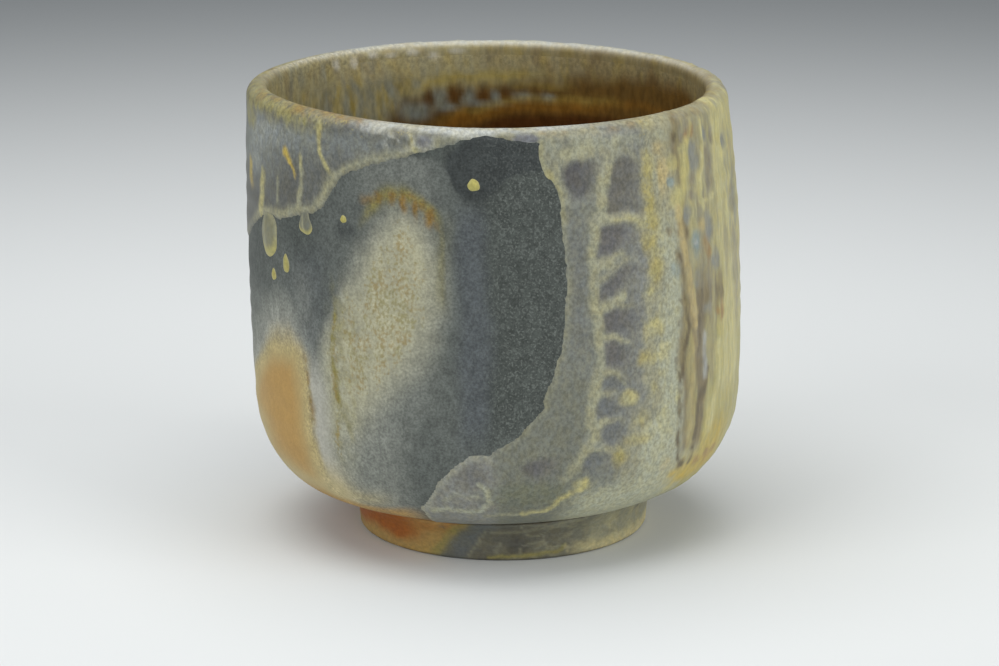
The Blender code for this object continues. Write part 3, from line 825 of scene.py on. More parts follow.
def inside_rows(cup, depth, wall_count, corner_count, floor_count):
    """Rows of the inside, this deep under its finished surface, from the floor's middle up to the
    underside of the lip."""
    corner_z = cup.floor_z + cup.inner_corner
    corner_radius = inner_radius(cup, corner_z) - cup.inner_corner
    reach = cup.inner_corner + depth
    floor_radii = np.linspace(0.0, corner_radius, floor_count)
    floor = np.column_stack((floor_radii, np.full(floor_count, cup.floor_z - depth)))
    corner = arc_rows((corner_radius, corner_z), (reach, reach), -90, 0, corner_count)[1:]
    heights = np.linspace(corner_z, cup.inner_lip_z, wall_count)[1:]
    wall = np.column_stack((inner_radius(cup, heights) + depth, heights))
    return np.concatenate((floor, corner, wall))


def outside_turns():
    """Columns round the outside, in degrees, close together in front and wider at the back."""
    left = np.linspace(-180, -FRONT_REACH, BACK_COLUMNS, False)
    front = np.linspace(-FRONT_REACH, FRONT_REACH, FRONT_COLUMNS, False)
    right = np.linspace(FRONT_REACH, 180, BACK_COLUMNS, False)
    return np.concatenate((left, front, right))


def hand_relief(cup, place):
    """How the potter's hands left the wall: faint uneven rings, and slow swells."""
    rings = np.sin(place.rise * 1.3 + 3.0 * place.cloud(30, 3, 1) + 2.0 * np.sin(place.rise * 0.31))
    rings = rings * smooth(9, 30, place.rise) * smooth(79, 72, place.rise)
    return cup.ring_depth * rings + SWELL_DEPTH * place.cloud(22, 8)


def outline_depth(cup, place, outline):
    """Millimetres inside a closed outline of places, negative outside it."""
    away = line_distance(place.turn, place.rise, outline + outline[:1], cup.degree)
    return np.where(inside_outline(place.turn, place.rise, outline), away, -away)


def window_distance(cup, place):
    """Millimetres from each place to the edge of the bare window: positive on the coat."""
    place = place.wandered(0.42, 0.30, 1.7, 21)
    turn = np.where(place.turn > 90.0, place.turn - 360.0, place.turn)
    away = line_distance(turn, place.rise, WINDOW_EDGE, cup.degree)
    return np.where(inside_outline(turn, place.rise, WINDOW_EDGE), -away, away)


# Meshes and pieces

def mesh_of(name, points, polygons, material, attributes):
    """A smooth mesh from points in millimetres and arrays of polygons, with point attributes."""
    loops = np.concatenate([p.ravel() for p in polygons]).astype(np.int32)
    sides = np.concatenate([np.full(len(p), p.shape[1]) for p in polygons])
    used, loops = np.unique(loops, return_inverse=True)
    mesh = bpy.data.meshes.new(name)
    mesh.vertices.add(len(used))
    mesh.vertices.foreach_set("co", (points[used] * MM).astype(np.float32).ravel())
    mesh.loops.add(len(loops))
    mesh.loops.foreach_set("vertex_index", loops.astype(np.int32))
    mesh.polygons.add(len(sides))
    mesh.polygons.foreach_set("loop_start", (np.cumsum(sides) - sides).astype(np.int32))
    mesh.update(calc_edges=True)
    for label, values in attributes.items():
        values = values[used]
        if values.ndim == 1:
            kind, field = "FLOAT", "value"
        else:
            kind, field = "FLOAT_COLOR", "color"
            values = np.column_stack((values, np.ones(len(values))))
        layer = mesh.attributes.new(label, kind, "POINT")
        layer.data.foreach_set(field, values.astype(np.float32).ravel())
    mesh.shade_smooth()
    mesh.materials.append(material)
    return mesh


def put(name, mesh, slot, *nodes):
    """Puts a piece in the scene, on the cup's body, and hides the nodes it stands for. Its slot is not
    used.
    """
    piece = bpy.data.objects.new(name, mesh)
    bpy.context.scene.collection.objects.link(piece)
    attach(piece, BODY)
    if nodes:
        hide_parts(*nodes)


def grid_quads(rows, columns):
    """Quads of a grid that closes on itself round the turn, facing out where rows run down the
    outside."""
    i, j = np.meshgrid(np.arange(rows - 1), np.arange(columns), indexing="ij")
    k = (j + 1) % columns
    corners = (i * columns + j, (i + 1) * columns + j, (i + 1) * columns + k, i * columns + k)
    return np.stack(corners, axis=-1)


def crown_fan(columns):
    """Triangles from a grid's first row, which is one point, to its second."""
    j = np.arange(columns)
    return np.column_stack((np.zeros(columns, int), columns + j, columns + (j + 1) % columns))


def closed_at_poles(points):
    """A turned surface whose first and last rows shrink to one point each on the axis."""
    rows, columns = points.shape[:2]
    quads = grid_quads(rows, columns)[1:-1].reshape(-1, 4)
    j = np.arange(columns)
    k = (j + 1) % columns
    last = (rows - 1) * columns
    end = np.column_stack((last - columns + j, np.full(columns, last), last - columns + k))
    return points.reshape(-1, 3), [quads, crown_fan(columns), end]


def shell_over(points, under, keep):
    """A closed shell: the fine grid where its blocks are kept, a coarse grid of the blocks' corners
    under it, and a wall of polygons along every side where a kept block has no kept neighbour."""
    rows, columns = points.shape[:2]
    fine = np.arange(rows * columns).reshape(rows, columns)
    coarse_rows, coarse_columns = keep.shape
    low = np.arange((coarse_rows + 1) * coarse_columns).reshape(coarse_rows + 1, coarse_columns)
    low = low + rows * columns
    kept = np.repeat(np.repeat(keep, BLOCK, 0), BLOCK, 1)
    polygons = [grid_quads(rows, columns)[kept]]
    i, j = np.nonzero(keep)
    k = (j + 1) % coarse_columns
    polygons.append(np.column_stack((low[i, j], low[i, k], low[i + 1, k], low[i + 1, j])))

    step = np.arange(BLOCK + 1)
    padded = np.pad(keep, ((1, 1), (0, 0)))
    above, below = padded[:-2], padded[2:]
    before, after = np.roll(keep, 1, 1), np.roll(keep, -1, 1)
    for open_side, side in ((~above, "top"), (~below, "bottom"), (~before, "left"), (~after, "right")):
        i, j = np.nonzero(keep & open_side)
        k = (j + 1) % coarse_columns
        if side in ("top", "bottom"):
            down = i + (side == "bottom")
            edge = fine[(down * BLOCK)[:, None], (j[:, None] * BLOCK + step) % columns]
            ends = (low[down, j], low[down, k])
            turned = side == "bottom"
        else:
            across = j if side == "left" else k
            edge = fine[i[:, None] * BLOCK + step, (across * BLOCK)[:, None]]
            ends = (low[i, across], low[i + 1, across])
            turned = side == "left"
        if turned:
            polygons.append(np.column_stack((edge[:, ::-1], ends[0], ends[1])))
        else:
            polygons.append(np.column_stack((edge, ends[1], ends[0])))
    return np.concatenate((points.reshape(-1, 3), under.reshape(-1, 3))), polygons


# Materials

def node(tree, kind, links=None, **settings):
    """Adds a shader node, sets its properties, and sets or links its inputs by name or number."""
    made = tree.nodes.new("ShaderNode" + kind)
    for name, value in settings.items():
        setattr(made, name, value)
    for name, value in (links or {}).items():
        if isinstance(value, bpy.types.NodeSocket):
            tree.links.new(value, made.inputs[name])
        else:
            made.inputs[name].default_value = value
    return made


def mixed(tree, share, below, above, how="MIX"):
    """The colour below, with the one above mixed into it by a share."""
    below, above = (c if isinstance(c, bpy.types.NodeSocket) else (*c, 1.0) for c in (below, above))
    links = {0: share, 6: below, 7: above}
    return node(tree, "Mix", links, data_type="RGBA", blend_type=how).outputs[2]


def ranged(tree, value, low, high, to_low=0.0, to_high=1.0):
    """A value carried smoothly from one range to another, and held at its ends."""
    links = {"Value": value, "From Min": low, "From Max": high, "To Min": to_low, "To Max": to_high}
    return node(tree, "MapRange", links, interpolation_type="SMOOTHSTEP").outputs["Result"]


def ranged_grey(tree, value, low, high, to_low, to_high):
    """A grey that follows a value, for multiplying into a colour."""
    level = ranged(tree, value, low, high, to_low, to_high)
    return node(tree, "CombineColor", {"Red": level, "Green": level, "Blue": level}).outputs["Color"]


def product(tree, a, b):
    """One value times another."""
    return node(tree, "Math", {0: a, 1: b}, operation="MULTIPLY").outputs[0]


def new_material(name, roughness, specular):
    """A material with a Principled shader, its roughness and its specular level."""
    material = bpy.data.materials.new(name)
    material.use_nodes = True
    shader = material.node_tree.nodes["Principled BSDF"]
    shader.inputs["Roughness"].default_value = roughness
    shader.inputs["Specular IOR Level"].default_value = specular
    return material, material.node_tree, shader


def noise_at(tree, per_metre, detail=2.0, drawn_out=1.0, rough=0.5):
    """Noise on Object coordinates, with this many lumps a metre, drawn out upwards by a factor."""
    where = node(tree, "TexCoord").outputs["Object"]
    scale = (1.0, 1.0, 1.0 / drawn_out)
    placed = node(tree, "Mapping", {"Vector": where, "Scale": scale}).outputs["Vector"]
    links = {"Vector": placed, "Scale": per_metre, "Detail": detail, "Roughness": rough}
    return node(tree, "TexNoise", links).outputs["Fac"]


def painted(tree):
    """The colour laid on the surface's points."""
    return node(tree, "Attribute", attribute_name="layout").outputs["Color"]


def amount(tree, label):
    """A number laid on the surface's points."""
    return node(tree, "Attribute", attribute_name=label).outputs["Fac"]


def bumped(tree, shader, height, strength, millimetres):
    """Fine relief on a surface."""
    links = {"Height": height, "Strength": strength, "Distance": millimetres * MM}
    tree.links.new(node(tree, "Bump", links).outputs["Normal"], shader.inputs["Normal"])


def clay_material(colours):
    """Bare clay: the painted layout with fine and slow grain where it isn't calm, pale crystals in
    flecks and broken rings, and iron specks."""
    material, tree, shader = new_material("fired_clay", 0.62, 0.3)
    layout = painted(tree)
    grain = noise_at(tree, 2300.0, detail=3.0, rough=0.62)
    grained = mixed(tree, 1.0, layout, ranged_grey(tree, grain, 0.3, 0.7, 0.74, 1.26), "MULTIPLY")
    cloudy = noise_at(tree, 700.0, detail=3.0, drawn_out=1.6, rough=0.6)
    grained = mixed(tree, 1.0, grained, ranged_grey(tree, cloudy, 0.32, 0.68, 0.85, 1.15), "MULTIPLY")
    colour = mixed(tree, amount(tree, "calm"), grained, layout)
    where = node(tree, "TexCoord").outputs["Object"]
    seeds = node(tree, "TexVoronoi", {"Vector": where, "Scale": 900.0, "Randomness": 1.0})
    outer = ranged(tree, seeds.outputs["Distance"], 0.52, 0.4)
    inner = ranged(tree, seeds.outputs["Distance"], 0.2, 0.34)
    any_red = node(tree, "SeparateColor", {"Color": seeds.outputs["Color"]}).outputs["Red"]
    chosen = ranged(tree, any_red, 0.1, 0.9)
    broken = ranged(tree, noise_at(tree, 1700.0), 0.4, 0.62)
    rings = product(tree, product(tree, product(tree, outer, inner), product(tree, broken, chosen)), 0.38)
    flecks = product(tree, ranged(tree, noise_at(tree, 2900.0), 0.5, 0.72), 0.52)
    both = node(tree, "Math", {0: rings, 1: flecks}, operation="MAXIMUM").outputs[0]
    colour = mixed(tree, product(tree, both, amount(tree, "crystals")), colour, colours.crystal)
    iron = noise_at(tree, 2000.0, drawn_out=1.3)
    clumps = ranged(tree, noise_at(tree, 480.0, drawn_out=1.4), 0.36, 0.64, 0.9, 1.14)
    density = ranged(tree, product(tree, amount(tree, "iron"), clumps), 0.0, 1.0, 0.82, 0.38)
    over = node(tree, "Math", {0: iron, 1: density}, operation="SUBTRACT").outputs[0]
    rust = mixed(tree, ranged(tree, noise_at(tree, 300.0), 0.4, 0.6), colours.olive, colours.ochre)
    colour = mixed(tree, product(tree, ranged(tree, over, -0.02, 0.26), 0.6), colour, rust)
    tree.links.new(colour, shader.inputs["Base Color"])
    bumped(tree, shader, noise_at(tree, 1900.0, detail=4.0), 0.3, 0.06)
    return material


def warm_and_cool(tree, colour, per_metre, drawn_out):
    """A colour that turns a little yellower and a little bluer by turns, as ash does."""
    slow = noise_at(tree, per_metre, detail=5.0, drawn_out=drawn_out, rough=0.6)
    warmth = ranged(tree, slow, 0.36, 0.64)
    tinted = mixed(tree, warmth, (0.975, 0.995, 1.03), (1.03, 1.005, 0.92))
    return mixed(tree, 1.0, colour, tinted, "MULTIPLY")


def ash_material(colours):
    """Ash coat: the painted layout with grain, or with fine runs where it is calm, yellower and
    bluer mottling and straw specks, and a satin skin."""
    material, tree, shader = new_material("ash_coat", 0.48, 0.4)
    grain = noise_at(tree, 1700.0, detail=5.0, drawn_out=1.2, rough=0.64)
    layout = painted(tree)
    grained = mixed(tree, 1.0, layout, ranged_grey(tree, grain, 0.3, 0.7, 0.72, 1.28), "MULTIPLY")
    runs = noise_at(tree, 1500.0, detail=4.0, drawn_out=5.0, rough=0.62)
    runny = mixed(tree, 1.0, layout, ranged_grey(tree, runs, 0.32, 0.68, 0.86, 1.14), "MULTIPLY")
    colour = mixed(tree, amount(tree, "calm"), grained, runny)
    colour = warm_and_cool(tree, colour, 850.0, 1.5)
    specks = noise_at(tree, 1900.0, detail=3.0, drawn_out=1.3)
    density = ranged(tree, amount(tree, "specks"), 0.0, 1.0, 0.86, 0.42)
    over = node(tree, "Math", {0: specks, 1: density}, operation="SUBTRACT").outputs[0]
    colour = mixed(tree, product(tree, ranged(tree, over, 0.0, 0.18), 0.62), colour, colours.ochre)
    tree.links.new(colour, shader.inputs["Base Color"])
    tree.links.new(ranged(tree, grain, 0.3, 0.7, 0.38, 0.54), shader.inputs["Roughness"])
    bumped(tree, shader, noise_at(tree, 1500.0, detail=5.0), 0.32, 0.07)
    return material


def liner_material():
    """Liner: the painted layout under a clear skin with fine runs, grainy at the lip and glossy
    below it."""
    material, tree, shader = new_material("amber_liner", 0.22, 0.5)
    gloss = amount(tree, "gloss")
    layout = painted(tree)
    grain = noise_at(tree, 1350.0, detail=5.0, drawn_out=1.2, rough=0.64)
    grainy = ranged_grey(tree, grain, 0.3, 0.7, 0.76, 1.24)
    runs = noise_at(tree, 1000.0, detail=4.0, drawn_out=2.2)
    runny = ranged_grey(tree, runs, 0.28, 0.72, 0.8, 1.2)
    colour = mixed(tree, 1.0, layout, mixed(tree, gloss, grainy, runny), "MULTIPLY")
    colour = warm_and_cool(tree, colour, 600.0, 1.8)
    tree.links.new(colour, shader.inputs["Base Color"])
    tree.links.new(ranged(tree, gloss, 0.0, 1.0, 0.46, 0.2), shader.inputs["Roughness"])
    bumped(tree, shader, noise_at(tree, 700.0, detail=3.0, drawn_out=3.0), 0.2, 0.07)
    return material


def foot_material():
    """Foot: the painted layout over turned clay, with grain and fine turning lines."""
    material, tree, shader = new_material("foot_clay", 0.5, 0.4)
    grain = noise_at(tree, 1400.0, detail=5.0, drawn_out=0.7, rough=0.62)
    colour = mixed(tree, 1.0, painted(tree), ranged_grey(tree, grain, 0.3, 0.7, 0.85, 1.15), "MULTIPLY")
    colour = warm_and_cool(tree, colour, 700.0, 0.8)
    tree.links.new(colour, shader.inputs["Base Color"])
    bumped(tree, shader, noise_at(tree, 1500.0, detail=4.0, drawn_out=0.4), 0.3, 0.07)
    return material


# Layouts

def clay_layout(cup, place, colours):
    """Paints the bare clay: grey in the left of the window, darker and bluer to the right, a pale
    bloom with iron specks in the middle, a lavender streak, and orange flashing low on the left.
    Every mark is a smooth step, bell, band or oval in turn and rise, on places that wander by
    noise. Returns the colour, and how many crystals and iron specks each place has and how calm
    its grain is."""
    soft = place.wandered(1, 0.9, 9, 31)
    clay = Canvas(
        place,
        colours,
        "grey",
        cup=cup,
        turn=soft.turn,
        rise=soft.rise,
        fine=place.wandered(0.5, 0.35, 2.2, 41),
        strands=place.cloud(1.2, 53, 2, 8),
        mottle=place.cloud(2.2, 51, 3, 2),
        grit=place.cloud(0.9, 57, 1, 1.4),
    )
    shelter = paint_clay_ground(clay)
    bloom, crown = paint_bloom(clay)
    depth, streak = paint_flashing(clay)
    iron = paint_iron(clay, bloom, crown, depth)

    flashed = smooth(-0.5, 1.5, depth)
    pale = np.clip(bloom + streak + flashed, 0, 1)
    crystals = (1 - 0.9 * pale) * (0.35 + 0.65 * smooth(-4, 4, clay.turn))
    crystals *= 1 - 0.5 * smooth(-0.3, 0.3, shelter)
    calm = np.clip(0.75 * smooth(0.5, 4, depth) + 0.5 * streak + 0.45 * bloom, 0, 1)
    return clay.colour, np.clip(crystals, 0, 1), np.clip(iron, 0, 1), calm


def paint_clay_ground(clay):
    """The clay round the bloom: darker to the right, a bluer band, thin ash above and below, and the
    darkest clay under the lip. Returns how far each place is inside that."""
    turn, rise, fine = clay.turn, clay.rise, clay.fine
    clay.lay("dark", smooth(-10, -1, turn) * smooth(19, 30, rise))
    band = between(turn, -7.8, -1, 2.4) * smooth(20, 30, rise) * smooth(68, 60, rise)
    clay.lay("blue", band * 0.95)
    clay.lay("mist", between(turn, -31, -12.5, 4) * smooth(62.5, 66.5, rise) * 0.34)
    low = smooth(-16, -28, turn) * smooth(-46, -40, turn) * smooth(40, 25, rise)
    clay.lay("mist", low * 0.8)
    clay.lay("mist", smooth(-9.5, -19, turn) * between(rise, 31, 41, 6) * 0.55)
    shelter = outline_depth(clay.cup, fine, SHELTER)
    blur = 0.25 + 1.1 * near(fine.turn, -2.5, 3.5)
    sheltered = smooth(-blur, blur, shelter)
    deepest = smooth(-0.6, 0.6, fine.turn + 9 - 1.5 * np.maximum(fine.rise - 72, 0))
    clay.lay("dark", sheltered * 0.9)
    clay.lay("darkest", sheltered * deepest * 0.95)
    return shelter


def paint_bloom(clay):
    """The pale bloom: thin ash and then thick between its edges, under a crown that falls away with
    the square of the turn. Returns how thick it is, and the crown."""
    turn, rise, strands = clay.turn, clay.rise, clay.strands
    left, right = edges_at(rise, BLOOM_EDGES)
    crown = 66.4 - 0.045 * (turn + 21) ** 2
    under_crown = smooth(crown - 0.2, crown - 8, rise)
    ragged = turn + 0.7 * strands
    thin = smooth(left - 7, left + 3, ragged) * smooth(right + 6.5, right - 3, ragged)
    clay.lay("mist", thin * under_crown * smooth(8, 20, rise) * (0.78 + 0.2 * strands))
    slack = 4.5 + 4 * smooth(46, 36, rise)
    bloom = smooth(left - 6, left + 8.5, ragged) * smooth(right + slack, right - slack - 1, ragged)
    bloom *= smooth(crown - 0.2, crown - 10, rise) * smooth(7, 29, rise)
    patchy = 0.9 + 0.11 * clay.mottle + 0.13 * strands + 0.1 * clay.place.cloud(7, 59, 2, 1.8)
    clay.lay("bloom", bloom * np.clip(patchy, 0, 1))
    side = near(turn, right + 1.4, 1.5) * between(rise, 48, 62, 3)
    clay.lay("olive", side * uneven(0.3, 0.3, strands))
    return bloom, crown


def paint_flashing(clay):
    """White ash over the flashing and a dark wedge beside it, a lavender streak along its right
    border, then its straw edge and orange middle, paler on the left and low down, and brown clay at
    the back. Returns how far inside the flashing each place is, and the streak."""
    place, turn, rise = clay.place, clay.turn, clay.rise
    top = line_at(turn, FLASH_TOP)
    border = line_at(rise, FLASH_BORDER)
    depth = np.minimum(top - rise, (border - turn) * clay.cup.degree) + 0.35 * clay.mottle
    clay.lay("mist", smooth(-9, -3.5, top - rise) * smooth(-42, -50, turn) * 0.8)
    clay.lay("flash_mist", smooth(-4.5, -1, top - rise) * smooth(-46, -53, turn) * 0.9)
    left, right = edges_at(rise, WEDGE_EDGES)
    wedge = smooth(-4.5, 4.5, turn - left) * smooth(-4.5, 4.5, right - turn)
    wedge *= smooth(33, 42, rise)
    clay.lay("blue", wedge * smooth(60, 52, rise) * near(turn, -46.5, 6.5) * 0.6)
    clay.lay("mist", wedge * between(rise, 43, 51, 4) * near(turn, -48.5, 3.5) * 0.42)
    clay.lay("dark", wedge * smooth(50, 57, rise) * near(turn, -50, 8) * 0.85)
    clay.lay("dark", smooth(-58, -70, turn) * smooth(43, 47, rise) * 0.4)

    streak_left = border - 0.4
    streak_right = line_at(rise, STREAK_RIGHT)
    streak = smooth(-0.8, 0.8, turn - streak_left) * smooth(-3, 2.4, streak_right - turn)
    streak *= smooth(39, 31, rise)
    clay.lay("lavender", streak * uneven(0.88, 0.12, clay.strands))
    high = smooth(32, 38, rise)
    clay.lay("flash_edge", smooth(-1 - 1.4 * high, 1.6 + 1 * high, depth))
    clay.lay("flash", smooth(1.2 + 1 * high, 6.8, depth) * smooth(5, 14, rise))
    side = smooth(-59, -92, turn + 0.9 * (rise - 22) + 8 * place.cloud(11, 73))
    clay.lay("flash_pale", side * smooth(-1, 3, depth) * 0.9)
    clay.lay("flash_pale", near(turn, -60, 12) * smooth(19, 13.5, rise) * 0.35)
    clay.lay("flash_pale", near(turn, -43.5, 5) * smooth(21.5, 14.5, rise) * 0.9)
    back = smooth(-112, -150, turn) + smooth(60, 100, turn)
    clay.lay("earth", back * smooth(46, 30, rise) * 0.7 * (0.8 + 0.3 * place.cloud(9, 71)))
    hem = near(rise, 14, 1.6) * smooth(-22, -36, turn) * smooth(-100, -70, turn)
    clay.lay("flash_pale", hem * 0.6)
    low = smooth(12.8, 10.8, rise) * smooth(-15, -27, turn) * smooth(-176, -140, turn)
    clay.lay("flash", low * 0.9)
    clay.lay("underside", smooth(10.2, 8.6, rise) * 0.85)
    return depth, streak


def paint_iron(clay, bloom, crown, depth):
    """Iron: an olive arch under the bloom's crown, dark marks, a broken line on its left, and brown
    along the edge of the flashing; and painted shade in the clay round two drops. Returns how many
    specks each place has."""
    turn, rise, strands, grit = clay.turn, clay.rise, clay.strands, clay.grit
    arch = near(rise, crown - 0.9, 1.2) * between(turn, -31, -12, 1.5)
    clay.lay("olive", arch * uneven(0.85, 0.4, strands))
    ragged = clay.place.wandered(0.35, 0.6, 1.3, 61)
    clay.lay_spots("umber", ragged, IRON_MARKS, 0.6)
    side = near(turn, -36.5, 3.5) * between(rise, 22, 48, 5)
    clay.lay("olive", side * uneven(0.2, 0.4, grit))
    line = near(turn, -38.6, 0.8) * between(rise, 22, 49, 3)
    clay.lay("olive", line * uneven(0.5, 0.8, grit))
    # Painted shade in the clay below and round two drops
    clay.lay_spots("darkest", clay.fine, DROP_SHADES, 0.6)
    brink = near(depth, 0.3, 0.6) * smooth(20, 27, rise) * smooth(40, 36, rise) * smooth(-58, -50, turn)
    clay.lay("umber", brink * uneven(0.35, 0.6, grit))

    clumps = 0.7 + 0.13 * near(turn, -20.5, 5.5) + 0.09 * near(turn, -33, 7)
    iron = bloom * smooth(24, 34, rise) * clumps
    iron *= np.clip(0.95 + 0.28 * strands, 0.4, 1.3)
    iron += 0.5 * near(rise, crown - 1.6, 2.4) * between(turn, -30, -12, 2)
    iron += 0.65 * brink + 0.5 * line + 0.4 * near(depth, 2.2, 1.6) * smooth(14, 20, rise)
    iron += 0.45 * near(turn, -39, 3.5) * between(rise, 17, 27, 3)
    return iron


def lip_runs(place, liner):
    """Paints what the liner shares with the inside of the lip, by height: tan runs, browner on the
    right, paler and yellower by turns, with pale runs at the back left, partly painted highlights,
    and a painted highlight along the top."""
    lining = Canvas(place, liner, "tan")
    turn, rise = np.mod(place.turn, 360), place.rise
    runs = place.cloud(2.2, 251, 3, 3)
    lining.lay("brown", smooth(204, 150, turn + 10 * runs) * smooth(20, 70, turn) * 0.43)
    lining.lay("brown", smooth(0.1, 0.9, place.cloud(1.6, 255, 2, 2.5)) * 0.34)
    lining.lay("honey", smooth(0.2, 0.8, place.cloud(1.7, 253, 2, 3)) * 0.4)
    milky = between(turn, 185, 260, 20) * smooth(0.1, 0.8, place.cloud(1.8, 263, 2, 3))
    lining.lay("milky", milky * 0.42)
    # Pale runs at the back left, partly painted highlights
    lining.lay_spots("pale", place, PALE_RUNS_AND_HIGHLIGHTS, 0.6)
    # A painted highlight along the top of the lip
    lining.lay("pale", between(turn, 100, 255, 25) * smooth(75.3, 76.2, rise) * 0.85)
    return lining, runs


def ash_layout(cup, place, edge, settings):
    """Paints the ash coat: lavender on the left with straw drips, a grey-olive border round the
    window, a column of dark pools between pale veins, then a blue-grey streak, brown and straw
    runs and a cream band, which go on round the back. Returns the colour, how many specks each
    place has, how calm its grain is, and the raised relief."""
    soft = place.wandered(1.2, 1, 6, 131)
    coat = Canvas(
        place,
        settings.ash,
        "grey",
        cup=cup,
        edge=edge,
        relief=np.zeros(soft.turn.shape),
        turn=soft.turn,
        rise=soft.rise,
        right=np.where(soft.turn < -90, soft.turn + 360, soft.turn),
        fine=place.wandered(0.5, 0.42, 2.8, 141),
        runs=place.cloud(2.6, 171, 3, 7),
        thin=place.cloud(1.2, 173, 2, 8),
        mottle=place.cloud(2.4, 163, 3, 1.5),
        grit=place.cloud(1.1, 177, 2, 1.2),
    )
    turn, rise, right = coat.turn, coat.rise, coat.right
    west = smooth(-172, -134, turn + 12 * coat.runs)
    coat.left = smooth(-4, -14, turn) * west
    paint_left_coat(coat)
    left_colour = coat.colour.copy()
    paint_column(coat)
    paint_runs(coat)
    western = west * smooth(-60, -90, turn)
    coat.blend(left_colour, western)
    coat.relief *= 1 - western

    mottled = smooth(-0.3, 0.5, coat.mottle)
    coat.specks = 0.18 + 0.35 * coat.left * smooth(71, 74, rise) + 0.2 * smooth(40, 44, turn) * mottled
    crusted = 0.2 + 0.2 * smooth(52, 60, rise)
    coat.specks += between(right, 36.5, 41, 1.5) * smooth(20, 30, rise) * crusted
    paint_marks(coat)
    paint_lip(coat, settings.liner)
    calm = 0.8 * smooth(43, 49, right) * (1 - western)
    return coat.colour, np.clip(coat.specks, 0, 1), calm, coat.relief


def paint_left_coat(coat):
    """The coat on the left and round the window: lavender, a pale edge, a warm grey tongue at the
    window's foot, and an olive and bluer border on its right."""
    turn, rise, edge, left = coat.turn, coat.rise, coat.edge, coat.left
    coat.lay("lavender", left * smooth(-12, -40, turn) + left * 0.5)
    coat.lay("mist", left * smooth(-0.2, 0.7, coat.place.cloud(6, 151, 2, 1.8)) * 0.16)
    hem = left * near(edge, 0.8, 0.75) * (0.35 + 0.4 * smooth(-74, -66, turn)) * smooth(17, 25, rise)
    coat.lay("vein", hem)
    tongue = smooth(1.5, -2, turn) * smooth(26, 22, rise) * smooth(-30, -22, turn)
    coat.lay("tongue", tongue * 0.95)
    coat.lay("pool", tongue * blot(coat.fine, (-5.5, 19.6), (3.6, 2.2), 0.8) * 0.45)
    coat.lay("foam", tongue * near(edge, 0.35, 0.45) * 0.4)
    coat.lay("moss", smooth(40, 32, rise) * between(turn, 1, 21, 2) * 0.9)
    coat.lay("pool_blue", between(turn, 17.5, 22, 1.5) * between(rise, 40, 62, 5) * 0.5)
    coat.lay("vein", between(turn, 11, 17, 1.5) * smooth(63, 70, rise) * 0.26)
    high = near(edge, 0.35, 0.4) * between(turn, 10, 24, 2) * smooth(56, 66, rise)
    coat.lay("straw", high * 0.35)
    coat.lay("vein", near(edge, 0.3, 0.5) * between(turn, 2, 24, 3) * 0.25)


def paint_column(coat):
    """The ground of the column of pools and of the blue-grey streak beside it, which comes nearer
    lower down, with straw crusts between them."""
    right, rise, mottle = coat.right, coat.rise, coat.mottle
    coat.lay("bed", smooth(24, 27, right) * smooth(17, 21, rise))
    coat.lay("cell", smooth(30, 37, right + 1.5 * mottle) * smooth(62, 54, rise) * 0.55)
    nearer = 3 * smooth(46, 36, rise) + 3.5 * smooth(27, 22, rise)
    coat.lay("drab", smooth(35.5, 39, right + nearer + 1.5 * mottle))
    streak = smooth(40, 43.5, right + 0.8 * nearer + 1.2 * mottle) * smooth(64, 56, rise)
    coat.lay("sky", streak)
    coat.lay("wheat", smooth(40, 43.5, right) * smooth(56, 64, rise) * 0.7)
    crust = near(right, 38.6, 2.4) * smooth(0, 0.8, coat.grit + 0.5 * mottle) * smooth(20, 30, rise)
    coat.lay("straw", crust * 0.55)
    crust = near(right, 42.5, 3.5) * smooth(0, 0.7, mottle) * smooth(15, 25, rise)
    coat.lay("straw", crust * 0.3)


